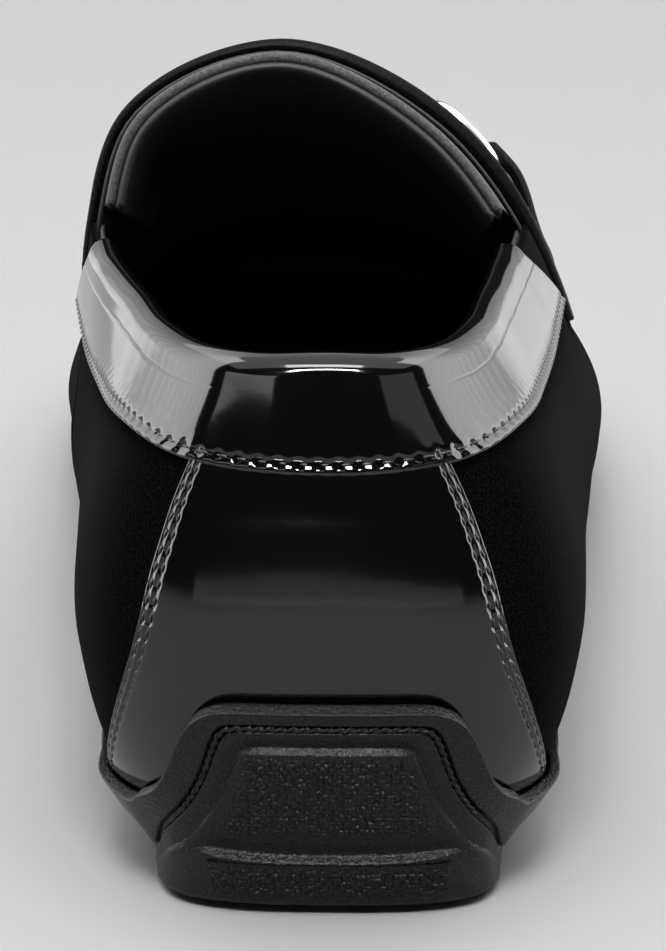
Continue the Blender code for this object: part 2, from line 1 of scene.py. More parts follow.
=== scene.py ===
"""Velvet and patent bit loafer on a rubber driving sole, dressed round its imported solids.

Lengths are in millimetres from the back of the heel until place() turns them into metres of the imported
frame: +Y runs to the toe, +X to the outer side of a right foot, +Z up from the floor.
"""

import bmesh
import bpy
import numpy as np
from mathutils import Matrix


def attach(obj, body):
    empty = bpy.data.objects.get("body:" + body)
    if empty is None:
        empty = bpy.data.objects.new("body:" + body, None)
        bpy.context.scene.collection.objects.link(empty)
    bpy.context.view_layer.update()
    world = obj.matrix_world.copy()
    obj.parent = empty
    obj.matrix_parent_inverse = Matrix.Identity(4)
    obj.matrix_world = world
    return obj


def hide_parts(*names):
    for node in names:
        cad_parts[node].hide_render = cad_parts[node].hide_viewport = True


bl_info = {
    "name": "Bit loafer",
    "version": (1, 0, 0),
    "blender": (4, 5, 0),
    "location": "3D View > Sidebar > Loafer",
    "description": "Velvet and patent slip-on shoe with a metal bit on a rubber driving sole",
    "category": "Object",
}

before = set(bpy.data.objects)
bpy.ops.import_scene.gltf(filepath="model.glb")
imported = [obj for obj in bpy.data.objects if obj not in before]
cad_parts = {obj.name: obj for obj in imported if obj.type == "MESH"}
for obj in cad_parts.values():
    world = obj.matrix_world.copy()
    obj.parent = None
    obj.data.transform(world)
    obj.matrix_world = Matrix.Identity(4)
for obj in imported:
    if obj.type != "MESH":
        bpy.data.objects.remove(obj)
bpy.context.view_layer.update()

MM = 0.001
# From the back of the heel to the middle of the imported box
SHIFT = np.array((3.18289, -144.07764, 0.0))

# Last: start and end of its straight sides, the throat, its tucked edge, its crown, and two of its levels
HEEL_Y = 40.0
THROAT_Y = 110.0
BALL_Y = 200.0
TUCK_IN = 8.0
TUCK_DOWN = 1.0
CROWN_RISE = 0.60
CROWN_HALF = 0.72
CROWN_LEAN = 0.90
COLLAR = 3
RIDGE = 5

# Upper: wall, room between pieces and between layers, strip thinned at the throat, apron seam
WALL = 2.0
GAP = 0.35
LAYER_GAP = 0.05
UNDER_GAP = 0.02
THROAT_SKIVE = 9.0
APRON_START_Y = 144.0
APRON_EASE = 10.0
APRON_RISE = 1.1
APRON_SPREAD = 0.075
GATHER_RISE = 0.20
GATHER_PITCH = 6.5
GATHER_LEVEL = 2.86
GATHER_SPREAD = 0.12
WAVE_RISE = 0.10

INSOLE_INSET = 2.5
INSOLE_EDGE = 0.35
INSOLE_ROUND = 3.0

# Tongue: its ends along the shoe, its lowest level, and its rounded and rising rear edge
TONGUE_REAR_Y = 105.5
TONGUE_FRONT_Y = 150.0
TONGUE_LEVEL = 3.12
TONGUE_SETBACK = 0.5
TONGUE_FLAT = 1.4
TONGUE_ROUND = 1.1
TONGUE_CORNER = 0.10
TONGUE_CORNER_RUN = 6.0
TONGUE_DEPTH = 0.1
TONGUE_CLEAR = 0.25
TONGUE_CLEAR_FRONT = 0.4

# Heel counter: where it starts, how it lies, its stitch rows and its columns counted in from the edge
COUNTER_SHIFT = -0.8
COUNTER_FOOT = 0.055
COUNTER_OVERLAP = 0.12
COUNTER_LIFT = 0.12
COUNTER_TOP_LEVEL = 2.33
COUNTER_ROUND = 0.55
COUNTER_ROWS = (0.9, 2.1)
COUNTER_ROW_SPREAD = 0.26
COUNTER_SUNK = 0.16
COUNTER_HOLE_DEPTH = 0.26
COUNTER_HOLE_SPREAD = 0.17
COUNTER_SWELL = 0.08
COUNTER_SWELL_SPREAD = 0.45
COUNTER_WAVE = 0.05
COUNTER_STITCH = {"share": 0.74, "sink": 0.13, "dive": 0.30}
COUNTER_INSETS = (0, 0.08, 0.2, 0.4, 0.6, 0.75, 0.9, 1.05, 1.2, 1.45, 1.7, 1.9, 2.1, 2.3, 2.5, 2.8, 3.2, 3.8)

# Collar band: its ends, seam and hem, its columns counted up from the lower edge and down from the top
BAND_END_LOW = 104.0
BAND_END_TOP = 85.0
BAND_LIFT = 0.15
BAND_ROUND = 0.5
BAND_END_ROUND = 0.8
BAND_SEAM = 1.7
BAND_SEAM_SPREAD = 0.42
BAND_SUNK = 0.16
BAND_HOLE_DEPTH = 0.30
BAND_HOLE_SPREAD = 0.16
BAND_STITCH = {"share": 0.72, "sink": 0.16, "dive": 0.32, "thick": 1.1}
BAND_SIDE_START = 20.0
BAND_SIDE_EASE = 10.0
BAND_PUCKER_AT = 0.8
BAND_PUCKER_LOW = 0.17
BAND_PUCKER_HIGH = 0.09
BAND_PUCKER_BACK = 0.35
BAND_WAVE = 0.02
BAND_WAVE_START = 3.0
BAND_WAVE_EASE = 4.0
BAND_HEM_START = 0.8
BAND_HEM = 6.0
BAND_HEM_STEPS = 6
BAND_ROLL_RISE = 0.45
BAND_ROLL_STEPS = 15
BAND_ROLL_START = 12.0
BAND_ROLL_SWELL = 0.05
BAND_CORE_GAP = 0.1
BAND_CREASE = 2.45
BAND_CREASE_WANDER = 0.12
BAND_CREASE_DEPTH = 0.07
BAND_CREASE_SPREAD = 0.16
BAND_INSETS = (0, 0.1, 0.25, 0.5, 0.8, 1.1, 1.4, 1.7, 2.0, 2.4, 2.9, 3.5, 4.3, 5.3)
BAND_DROPS = (3.4, 3.0, 2.8, 2.65, 2.55, 2.45, 2.35, 2.25, 2.1, 1.9, 1.5, 1.0, 0.5, 0.0)

# Strap: rear and front edges, end of the hem, stitch rows
STRAP_LEVEL = 2.15
STRAP_REAR_Y = 111.5
STRAP_FRONT_Y = 141.0
STRAP_HEM_Y = 117.0
STRAP_ROUND = 0.6
STRAP_LIFT = 0.1
STRAP_SEAM_REAR = 113.6
STRAP_SEAM_FRONT = 138.8
STRAP_SEAM_DEPTH = 0.20
STRAP_SEAM_SPREAD = 0.35
STRAP_HEM_EASE = 1.2
STRAP_PITCH = 2.6
STRAP_STITCH = {"length": 1.9, "sink": 0.02, "dive": 0.25}

# Bit: rings, their squareness and tilt, and the leather loops
BIT_Y = 131.5
BIT_SIDES = 18
RING_AT = {"medial": -0.44, "lateral": 1.20}
RING_TILT = {"medial": 0.0, "lateral": 1.2}
RING_REACH_Y = 6.0
RING_REACH = 0.30
RING_POWER = 0.62
BAR_CLEAR = 0.13
BAR_RADIUS = 0.9
BAR_TIP = 0.03
# Swellings of the bar: rise, place from its middle to its end, spread
BAR_BEADS = ((0.4, 0.28, 0.16), (0.2, 1.0, 0.1))
KEEPER_REACH = 0.24
KEEPER_END = {"medial": 1.0, "lateral": 2.45}
KEEPER_BACK = {"medial": 2.5, "lateral": 3.6}
KEEPER_FRONT = 3.5
KEEPER_CREST = 0.1
KEEPER_FALL = 0.75
KEEPER_TILT = 0.25
KEEPER_EDGE = 0.1
KEEPER_TIP = 0.2
KEEPER_ROUND = 0.6

STITCH_PLACES = (-0.5, -0.38, 0.0, 0.38, 0.5)
STITCH_SWELL = (0.55, 0.92, 1.0, 0.92, 0.55)
STITCH_SIDES = 6


def table(columns, rows):
    """Rows of numbers as one array for each named column."""
    return {name: np.array(values, float) for name, values in zip(columns, zip(*rows))}


# Middle line and level heights of the last, from heel back to toe tip
LAST = table(
    ("y", "axis_x", "ridge_x", "feather", "bulge", "shoulder", "collar", "ridge"),
    ((0.0, 0.5, -1.0, 11.0, 33.0, 56.0, 74.4, 114.0),
     (40.0, 0.0, -5.0, 10.5, 29.0, 54.0, 73.2, 114.0),
     (75.0, -0.2, -9.5, 10.8, 27.0, 53.0, 71.6, 108.0),
     (110.0, -1.0, -10.0, 10.5, 26.0, 52.0, 71.0, 99.5),
     (150.0, -1.3, -10.0, 9.0, 22.0, 42.0, 61.0, 81.0),
     (200.0, -3.0, -9.0, 7.0, 20.0, 33.0, 46.0, 58.0),
     (292.0, -9.0, -9.0, 12.5, 22.0, 32.0, 38.0, 42.0)))
# Half widths of the four lower levels along the sides
HALF = table(
    ("y", "feather", "bulge", "shoulder", "collar"),
    ((40.0, 27.0, 35.8, 32.6, 24.3),
     (75.0, 27.5, 37.7, 35.7, 30.3),
     (110.0, 30.0, 41.4, 39.4, 34.6),
     (150.0, 36.0, 45.7, 42.5, 33.3),
     (200.0, 43.0, 50.0, 44.5, 31.0)))
# Heel and toe ends of each level: where they end, how square they are, how far the level leans to the ridge
LEVELS = ("feather", "bulge", "shoulder", "collar")
ENDS = table(
    ("heel_y", "heel_power", "toe_y", "toe_power", "lean"),
    ((9.0, 3.0, 283.0, 2.40, 0.0),
     (0.0, 3.0, 292.0, 2.40, 0.0),
     (2.2, 3.1, 286.0, 2.35, 0.12),
     (6.5, 3.4, 268.0, 2.20, 0.44)))

# Outlines nested round the heel block, from the middle of the back to its side facet
HEEL_TAB = table(
    ("lip_s", "lip_z", "frame_s", "frame_z", "block_s", "block_z",
     "panel_s", "panel_z", "ledge_s", "ledge_z", "floor_s"),
    ((0.0, 32.5, 0.0, 29.7, 0.0, 28.4, 0.0, 26.2, 0.0, 9.2, 0.0),
     (7.0, 32.5, 6.4, 29.7, 6.0, 28.4, 5.0, 26.2, 5.8, 9.2, 7.0),
     (14.0, 32.5, 12.8, 29.7, 11.8, 28.4, 10.0, 26.2, 11.5, 9.4, 14.0),
     (17.7, 30.0, 14.6, 28.5, 13.4, 27.4, 11.6, 25.2, 13.4, 9.6, 17.5),
     (21.0, 22.3, 17.3, 20.2, 16.0, 19.8, 14.2, 17.5, 16.2, 9.8, 21.0),
     (23.6, 18.2, 21.0, 15.2, 19.8, 14.2, 18.8, 11.4, 19.4, 9.9, 25.5),
     (28.0, 15.8, 26.0, 11.0, 25.0, 10.0, 24.2, 8.4, 25.0, 6.8, 30.0)))
# Sole along the sides: top of the lip, bottom of its band and the tread
SOLE = table(
    ("y", "lip", "band", "floor"),
    ((0.0, 14.5, 6.5, 0.0),
     (30.0, 13.3, 5.4, 0.0),
     (68.0, 13.2, 5.6, 0.0),
     (72.0, 13.1, 6.0, 3.4),
     (110.0, 12.8, 6.4, 3.6),
     (136.0, 12.2, 6.0, 3.2),
     (140.0, 12.0, 5.6, 0.0),
     (200.0, 11.2, 5.0, 0.0),
     (244.0, 12.6, 5.6, 0.0),
     (266.0, 15.0, 7.4, 2.6),
     (292.0, 17.5, 9.4, 6.0)))
RINGS = ("belly", "frame", "groove_top", "groove_low", "block", "border",
         "panel", "ledge", "ledge_low", "round", "floor")
RING_SHARE = dict(zip(RINGS, (1.7, 1.0, 0.96, 0.84, 0.80, 0.70, 0.62, 0.52, 0.44, 0.16, 0.0)))
SIDE_OUT = dict(zip(RINGS[1:], (-10.4, -11.6, -11.7, -11.2, -11.3, -11.4, -11.6, -11.7, -12.6, -14.2)))
LIP_WIDTH = 1.7
LIP_CHAMFER = 1.0
BELLY_RISE = 1.7
FOREFOOT_WIDER = 3.0
LIP_CLEAR = 0.8
LIP_CLEAR_COUNTER = 2.25
CUP_LEVEL = 0.08
CUP_STEPS = (0.0, 0.25, 0.55, 1.0)
CORNER = (20.0, 50.0)
GROOVE_DEPTH = 0.9
LEDGE = 1.0
FACE_TOP_Z = 32.5
FACE_TOP_OUT = 4.2
FACE_LEAN = 0.27
HEEL_RELIEF = 0.1
GROOVE_SHARE = {"groove_top": 0.3, "groove_low": 0.7}
FLOOR_ROUND_Z = 1.5
FLOOR_ROUND_OUT = 1.2
FLOOR_IN = 1.6
# Columns over which the lip closes in past the heel counter, and y over which the forefoot widens
COUNTER_END = (42.0, 52.0)
WIDENING_Y = (110.0, 150.0)
# Rows of the heel outlines at which the panel's ledge gets lower, and at which its relief fades out
LEDGE_ROWS = ((3, 4, 5), (1.0, 0.6, 0.4))
RELIEF_ROWS = ((3.6, 5.0), (1.0, 0.0))
PAD_GROOVES = (160.0, 178.0, 196.0)
PAD_GROOVE_HALF = 1.4
PAD_GROOVE_RISE = 2.0


def measure(name, description, millimetres):
    """Length that the panel shows."""
    return bpy.props.FloatProperty(
        name=name, description=description, default=millimetres * MM, unit="LENGTH")


def tint(name, description, default):
    """Colour that the panel shows."""
    return bpy.props.FloatVectorProperty(
        name=name, description=description, default=default, size=3, subtype="COLOR")


class LoaferSizes(bpy.types.PropertyGroup):
    """Thicknesses and stitch sizes of the shoe's pieces."""

    velvet_thick: measure("Velvet", "Thickness of the velvet wall", 0.7)
    lining_thick: measure("Lining", "Thickness of the lining", 0.5)
    counter_thick: measure("Heel counter", "Thickness of the heel overlay", 1.2)
    band_thick: measure("Collar band", "Thickness of the collar binding", 1.3)
    strap_thick: measure("Strap", "Thickness of the instep strap", 1.3)
    strap_hem: measure("Strap hem", "Thickness of the turned rear edge of the strap", 1.8)
    tongue_felt: measure("Tongue felt", "Thickness of the felt of the tongue", 1.6)
    tongue_lining: measure("Tongue lining", "Thickness of the lining roll of the tongue", 1.4)
    insole_thick: measure("Insole", "Thickness of the insole", 2.5)
    thread_radius: measure("Thread", "Radius of the sewing thread", 0.19)
    counter_pitch: measure("Counter stitch", "Stitch length on the heel overlay", 2.3)
    band_pitch: measure("Band stitch", "Stitch length on the collar band", 2.7)
    rod_radius: measure("Bit rod", "Radius of the rods of the bit", 1.0)


class LoaferColours(bpy.types.PropertyGroup):
    """Colours of the shoe's finishes and of the floor."""

    velvet: tint("Velvet", "Pile of the upper", (0.0008, 0.0008, 0.0009))
    # Tip colour of the velvet: painted highlight flecks standing for the lit tips of the pile
    velvet_tip: tint("Velvet tips", "Lit tips of the pile", (0.012, 0.012, 0.0125))
    patent: tint("Patent", "Lacquered leather", (0.0040, 0.0040, 0.0042))
    rubber: tint("Rubber", "Moulded sole", (0.017, 0.017, 0.0175))
    lining: tint("Lining", "Leather inside the shoe", (0.0070, 0.0070, 0.0072))
    felt: tint("Raw edge", "Cut edge of the tongue", (0.19, 0.18, 0.17))
    thread: tint("Thread", "Sewing thread", (0.010, 0.010, 0.010))
    metal: tint("Metal", "Polished bit", (0.86, 0.86, 0.85))
    floor: tint("Floor", "Studio floor", (0.76, 0.76, 0.76))


def size(name):
    """One of the panel's sizes in millimetres."""
    return getattr(bpy.context.scene.loafer_sizes, name) / MM


def colour(name, share=1.0):
    """One of the panel's colours, at a share of its brightness."""
    return (*(share * value for value in getattr(bpy.context.scene.loafer_colours, name)), 1.0)


def smooth(xs, ys, x, first=None, last=None):
    """Cubic through the points of a column, with given or natural end slopes."""
    step = np.diff(xs)
    rise = np.diff(ys) / step
    slope = np.empty_like(ys)
    slope[1:-1] = (rise[:-1] * step[1:] + rise[1:] * step[:-1]) / (step[:-1] + step[1:])
    slope[0] = rise[0] if first is None else first
    slope[-1] = rise[-1] if last is None else last
    x = np.clip(x, xs[0], xs[-1])
    i = np.clip(np.searchsorted(xs, x) - 1, 0, len(xs) - 2)
    t = (x - xs[i]) / step[i]
    start = (2 * t**3 - 3 * t**2 + 1) * ys[i] + (t**3 - 2 * t**2 + t) * step[i] * slope[i]
    return start + (3 * t**2 - 2 * t**3) * ys[i + 1] + (t**3 - t**2) * step[i] * slope[i + 1]


def column(name, y):
    """One column of the last's table at y."""
    return smooth(LAST["y"], LAST[name], y)


def level_line(level, q):
    """Half width and y of a level; q runs to 1 round the heel, to 2 along the side, to 3 round the toe."""
    i = LEVELS.index(level)
    heel = np.clip(1 - q, 0, 1) * np.pi / 2
    toe = np.clip(q - 2, 0, 1) * np.pi / 2
    taper = (HALF[level][1] - HALF[level][0]) / (HALF["y"][1] - HALF["y"][0])
    y = HEEL_Y + (BALL_Y - HEEL_Y) * np.clip(q - 1, 0, 1)
    half = smooth(HALF["y"], HALF[level], y, taper, 0.0)
    heel_root = 2 / ENDS["heel_power"][i]
    toe_root = 2 / ENDS["toe_power"][i]
    back = (ENDS["heel_y"][i] - HEEL_Y) * np.sin(heel)**heel_root
    front = (ENDS["toe_y"][i] - BALL_Y) * np.sin(toe)**toe_root
    half = (half + taper * back) * np.abs(np.cos(heel))**heel_root * np.abs(np.cos(toe))**toe_root
    return half, y + back + front


def bulge_lengths():
    """Length along the widest line of the last for evenly stepped q."""
    q = np.linspace(0, 3, 3001)
    half, y = level_line("bulge", q)
    return q, np.concatenate([[0], np.cumsum(np.hypot(np.diff(half), np.diff(y)))])


Q_STEPS, S_STEPS = bulge_lengths()
S_END = S_STEPS[-1]


def s_at_y(y):
    """Distance from the heel back along the widest line, for a section on the straight sides."""
    return np.interp(1 + (np.asarray(y, float) - HEEL_Y) / (BALL_Y - HEEL_Y), Q_STEPS, S_STEPS)


def wrapped(s):
    """The same column counted from the heel back, negative on the inner side."""
    return (s + S_END) % (2 * S_END) - S_END


def controls(q, side):
    """The six level points of the section at q: feather, bulge, shoulder, collar, crown, ridge."""
    points = []
    for level, lean in zip(LEVELS, ENDS["lean"]):
        half, y = level_line(level, q)
        axis = column("axis_x", y)
        x = axis + lean * (column("ridge_x", y) - axis) + side * half
        points.append(np.stack([x, y, column(level, y)], -1))
    collar_half = half
    collar = points[-1]
    y = np.clip(HEEL_Y + (BALL_Y - HEEL_Y) * (q - 1), HEEL_Y, BALL_Y)
    ridge = np.stack([column("ridge_x", y), y, column("ridge", y)], -1)
    y = y + CROWN_HALF * (collar[..., 1] - y)
    axis = column("axis_x", y)
    x = axis + CROWN_LEAN * (column("ridge_x", y) - axis) + side * collar_half * CROWN_HALF
    z = collar[..., 2] + CROWN_RISE * (column("ridge", y) - collar[..., 2])
    return np.stack(points + [np.stack([x, y, z], -1), ridge], -2)


def last_point(s, v):
    """Point of the last: a cubic through the level points of the section at s, at level v of 0 to 5."""
    s, v = np.broadcast_arrays(np.asarray(s, float), np.asarray(v, float))
    s = wrapped(s)
    side = np.where(s < 0, -1.0, 1.0)
    q = np.interp(np.abs(s), S_STEPS, Q_STEPS)
    points = controls(q, side)
    pole = np.sin((np.clip(1 - q, 0, 1) + np.clip(q - 2, 0, 1)) * np.pi / 2)[..., None]
    over = (1 - pole) * controls(q, -side)[..., 4, :] + pole * (2 * points[..., 5, :] - points[..., 4, :])
    inward = points[..., 0, :] - points[..., 1, :]
    inward[..., 2] = 0
    under = points[..., 0, :] + TUCK_IN * inward / np.linalg.norm(inward, axis=-1, keepdims=True)
    under[..., 2] -= TUCK_DOWN
    points = np.concatenate([under[..., None, :], points, over[..., None, :]], -2)
    i = np.clip(np.floor(v).astype(int), 0, 4)
    t = (v - i)[..., None]
    near = [np.take_along_axis(points, (i + k)[..., None, None], -2)[..., 0, :] for k in range(4)]
    steps = [near[k + 1] - near[k] for k in range(3)]
    a, b, c = [np.linalg.norm(step, axis=-1, keepdims=True) + 1e-9 for step in steps]
    start = (steps[0] / a * b + steps[1] / b * a) / (a + b) * b
    end = (steps[1] / b * c + steps[2] / c * b) / (b + c) * b
    blend = (2 * t**3 - 3 * t**2 + 1) * near[1] + (t**3 - 2 * t**2 + t) * start
    return blend + (3 * t**2 - 2 * t**3) * near[2] + (t**3 - t**2) * end


def last_normal(s, v):
    """Outward unit normal of the last; on the ridge, the mean of its two sides."""
    s, v = np.broadcast_arrays(np.asarray(s, float), np.asarray(v, float))
    ds = 0.4
    dv = 0.02
    v_in = np.clip(v, dv, 5 - 2 * dv)
    mean = 0
    for sign in (1, -1):
        at = s * sign
        along = last_point(at + ds, v_in) - last_point(at - ds, v_in)
        up = last_point(at, v_in + dv) - last_point(at, v_in - dv)
        normal = np.cross(along, up)
        normal = normal / np.linalg.norm(normal, axis=-1, keepdims=True)
        own = 0.5 + 0.5 * np.clip((5 - v) / 0.6, 0, 1)
        weight = own if sign == 1 else 1 - own
        mean = mean + weight[..., None] * normal
    return mean / np.linalg.norm(mean, axis=-1, keepdims=True)


def shell(s, v, out=0.0):
    """Point at a distance out from the last, along its normal."""
    s, v, out = np.broadcast_arrays(np.asarray(s, float), np.asarray(v, float), np.asarray(out, float))
    return last_point(s, v) + out[..., None] * last_normal(s, v)


def level_at_z(s, z):
    """Level v at which each column s of the last reaches height z, below the collar."""
    levels = np.linspace(0, 3, 121)
    heights = last_point(np.asarray(s, float)[..., None], levels)[..., 2]
    below = (heights < np.asarray(z)[..., None]).sum(-1).clip(1, levels.size - 1)
    low = np.take_along_axis(heights, below[..., None] - 1, -1)[..., 0]
    high = np.take_along_axis(heights, below[..., None], -1)[..., 0]
    return levels[below - 1] + (levels[1] - levels[0]) * (z - low) / (high - low)


def edge_round(distance, radius):
    """Quarter circle: 0 at an edge, 1 from the radius on."""
    return np.sqrt(1 - (1 - np.clip(distance / radius, 0, 1))**2)


def bump(distance, width):
    """Bell curve of height 1."""
    return np.exp(-(distance / width)**2)


def stitch_holes(phase, spread):
    """Bell curve at each end of a stitch; phase counts stitches."""
    return bump((phase + 0.5) % 1 - 0.5, spread)


def lengths(points):
    """Distance run along a line of points."""
    return np.concatenate([[0], np.cumsum(np.linalg.norm(np.diff(points, axis=0), axis=1))])


def ripple(s, v, seed):
    """Soft uneven waves of about 1: four crossed sines with seeded turns."""
    turn = np.random.default_rng(seed).uniform(0, 2 * np.pi, 4)
    waves = np.sin(s / 11 + 2.1 * v + turn[0]) + np.sin(s / 23 - 3.3 * v + turn[1])
    return (waves + np.sin(s / 37 + 1.4 * v + turn[2]) + np.sin(s / 6.3 - 0.8 * v + turn[3])) / 2.6


def quads(index):
    """Four-sided faces of a grid of point numbers."""
    return np.stack([index[:-1, :-1], index[:-1, 1:], index[1:, 1:], index[1:, :-1]], -1).reshape(-1, 4)


def sheet_faces(rows, columns, first=0):
    """Faces of a whole sheet whose points are numbered row by row from first."""
    return quads(np.arange(rows * columns).reshape(rows, columns) + first)


def slab(outer, inner):
    """Points and faces of a closed plate between two grids with the same rows and columns."""
    rows, columns = outer.shape[:2]
    index = np.arange(rows * columns).reshape(rows, columns)
    border = np.concatenate([index[0], index[1:, -1], index[-1, -2::-1], index[-2:0:-1, 0]])
    onward = np.roll(border, -1)
    count = rows * columns
    strip = np.stack([border, border + count, onward + count, onward], -1)
    faces = np.concatenate([quads(index), quads(index)[:, ::-1] + count, strip])
    return np.concatenate([outer.reshape(-1, 3), inner.reshape(-1, 3)]), faces.tolist()


def sleeve(points):
    """Faces of a tube: rows run along it, columns close round it, and a face caps each end."""
    rows, columns = points.shape[:2]
    index = np.arange(rows * columns).reshape(rows, columns)
    faces = quads(np.concatenate([index, index[:, :1]], 1)).tolist()
    return points.reshape(-1, 3), faces + [index[0, ::-1].tolist(), index[-1].tolist()]


def circles(path, ahead, normal, radius, sides):
    """Circles square to a path, one round each of its points."""
    across = np.cross(ahead, normal)
    across /= np.linalg.norm(across, axis=1, keepdims=True)
    turn = (np.arange(sides) * 2 * np.pi / sides)[:, None]
    circle = np.cos(turn) * across[:, None] + np.sin(turn) * normal[:, None]
    return path[:, None] + np.broadcast_to(radius, (len(path), sides))[..., None] * circle


def ring_tube(path, normal, radius, sides):
    """Closed rod: circles of the given radius round a closed path."""
    points = circles(path, np.roll(path, -1, 0) - np.roll(path, 1, 0), normal, radius, sides)
    index = np.arange(len(path) * sides).reshape(-1, sides)
    index = np.concatenate([index, index[:1]])
    return points.reshape(-1, 3), quads(np.concatenate([index, index[:, :1]], 1)).tolist()


def rod(path, normal, radius, sides):
    """Open rod: circles whose radius varies along the path."""
    return sleeve(circles(path, np.gradient(path, axis=0), normal, radius, sides))


def spaced(path, normal, pitch):
    """Middles, directions and normals of stitches set a pitch apart along a dense path."""
    run = lengths(path)
    at = np.arange(pitch / 2, run[-1], pitch)
    pick = lambda values: np.stack([np.interp(at, run, values[:, k]) for k in range(3)], -1)
    ahead = pick(np.gradient(path, run, axis=0))
    up = pick(normal)
    ahead /= np.linalg.norm(ahead, axis=1, keepdims=True)
    return pick(path), ahead, up / np.linalg.norm(up, axis=1, keepdims=True)


def stitch_rods(middles, ahead, normal, length, radius, dive):
    """Short rods with tapered ends that dive into the leather: circles at five places along each stitch."""
    across = np.cross(ahead, normal)
    at = np.array(STITCH_PLACES)[:, None]
    swell = np.array(STITCH_SWELL)[:, None, None] * radius
    turn = np.arange(STITCH_SIDES)[:, None] * 2 * np.pi / STITCH_SIDES
    line = middles[:, None] + length * at * ahead[:, None] - dive * (2 * at)**2 * normal[:, None]
    circle = np.cos(turn) * across[:, None] + np.sin(turn) * normal[:, None]
    points = line[:, :, None] + swell * circle[:, None]
    index = np.arange(len(middles) * len(at) * STITCH_SIDES).reshape(-1, len(at), STITCH_SIDES)
    wrap = np.concatenate([index, index[:, :, :1]], 2)
    corners = [wrap[:, :-1, :-1], wrap[:, :-1, 1:], wrap[:, 1:, 1:], wrap[:, 1:, :-1]]
    sides = np.stack(corners, -1).reshape(-1, 4)
    return points.reshape(-1, 3), sides.tolist() + index[:, 0, ::-1].tolist() + index[:, -1].tolist()


def join(*shapes):
    """One list of points and faces from several."""
    points = []
    faces = []
    first = 0
    for part, part_faces in shapes:
        points.append(part)
        faces += [[k + first for k in face] for face in part_faces]
        first += len(part)
    return np.concatenate(points), faces


def place(points):
    """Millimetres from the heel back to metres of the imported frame."""
    return (np.asarray(points) + SHIFT) * MM


def add_piece(name, shape, finishes, stands_for=(), marks=None):
    """Mesh object from millimetre points and faces, riding on the shoe; marks gives each face's finish."""
    points, faces = shape
    mesh = bpy.data.meshes.new(name)
    mesh.from_pydata(place(points).tolist(), [], faces)
    for finish in finishes:
        mesh.materials.append(finish)
    if marks is not None:
        mesh.polygons.foreach_set("material_index", np.asarray(marks, np.int32))
    work = bmesh.new()
    work.from_mesh(mesh)
    bmesh.ops.remove_doubles(work, verts=work.verts, dist=2e-6)
    bmesh.ops.dissolve_degenerate(work, edges=work.edges, dist=1e-6)
    bmesh.ops.recalc_face_normals(work, faces=work.faces)
    if work.calc_volume(signed=True) < 0:
        bmesh.ops.reverse_faces(work, faces=work.faces)
    work.to_mesh(mesh)
    work.free()
    mesh.shade_smooth()
    item = bpy.data.objects.new(name, mesh)
    bpy.context.scene.collection.objects.link(item)
    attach(item, "root")
    if stands_for:
        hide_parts(*stands_for)
    return item


def thicken(item, thick):
    """Give a sheet its thickness, inwards."""
    wall = item.modifiers.new("wall", "SOLIDIFY")
    wall.thickness = thick * MM
    wall.offset = -1.0


# Noise between which a finish goes from base to tip colour, and size of its rough patches in speckles
FLECK_RANGE = (0.38, 0.72)
PATCH_SIZE = 5.0


def finish_material(name, base, tip, speckle, roughness, grain, grain_depth, sockets=None):
    """Principled finish: speckled colour between base and tip, grain as bump, and rough to smooth by noise.

    speckle and grain are sizes in millimetres; roughness is a pair.
    """
    material = bpy.data.materials.get(name)
    if material:
        return material
    material = bpy.data.materials.new(name)
    material.use_nodes = True
    nodes = material.node_tree.nodes
    links = material.node_tree.links
    shader = nodes["Principled BSDF"]
    for socket, value in (sockets or {}).items():
        shader.inputs[socket].default_value = value
    where = nodes.new("ShaderNodeTexCoord")

    def noise(cell, detail):
        node = nodes.new("ShaderNodeTexNoise")
        node.inputs["Scale"].default_value = 1 / (cell * MM)
        node.inputs["Detail"].default_value = detail
        links.new(where.outputs["Object"], node.inputs["Vector"])
        return node.outputs["Fac"]

    flecks = noise(speckle, 3.0)
    ramp = nodes.new("ShaderNodeValToRGB")
    for element, position, shade in zip(ramp.color_ramp.elements, FLECK_RANGE, (base, tip)):
        element.position = position
        element.color = shade
    links.new(flecks, ramp.inputs["Fac"])
    links.new(ramp.outputs["Color"], shader.inputs["Base Color"])
    spread = nodes.new("ShaderNodeMapRange")
    spread.inputs["To Min"].default_value = roughness[0]
    spread.inputs["To Max"].default_value = roughness[1]
    links.new(noise(speckle * PATCH_SIZE, 2.0), spread.inputs["Value"])
    links.new(spread.outputs["Result"], shader.inputs["Roughness"])
    relief = nodes.new("ShaderNodeBump")
    relief.inputs["Distance"].default_value = grain_depth * MM
    relief.inputs["Strength"].default_value = 1.0
    links.new(noise(grain, 4.0), relief.inputs["Height"])
    links.new(relief.outputs["Normal"], shader.inputs["Normal"])
    return material


def velvet():
    """Deep black pile with painted highlight flecks for its lit tips, and no shine."""
    return finish_material(
        "velvet pile", colour("velvet"), colour("velvet_tip"), speckle=0.28, roughness=(0.85, 1.0),
        grain=0.35, grain_depth=0.16,
        sockets={"Sheen Weight": 0.04, "Sheen Roughness": 0.35, "Specular IOR Level": 0.0})


def patent():
    """Glossy lacquer over faintly uneven leather."""
    return finish_material(
        "patent leather", colour("patent"), colour("patent"), speckle=2.0, roughness=(0.06, 0.10),
        grain=3.0, grain_depth=0.008, sockets={"Coat Weight": 0.1, "Coat Roughness": 0.03})


def strap_leather():
    """Dull grained leather of the strap and the loops."""
    return finish_material(
        "strap leather", colour("patent"), colour("velvet_tip"), speckle=0.8, roughness=(0.40, 0.55),
        grain=0.7, grain_depth=0.06, sockets={"Specular IOR Level": 0.06})


def rubber():
    """Moulded rubber with a fine pebble."""
    return finish_material(
        "sole rubber", colour("rubber", 0.3), colour("rubber"), speckle=0.40, roughness=(0.20, 0.30),
        grain=0.45, grain_depth=0.22, sockets={"Specular IOR Level": 0.2})


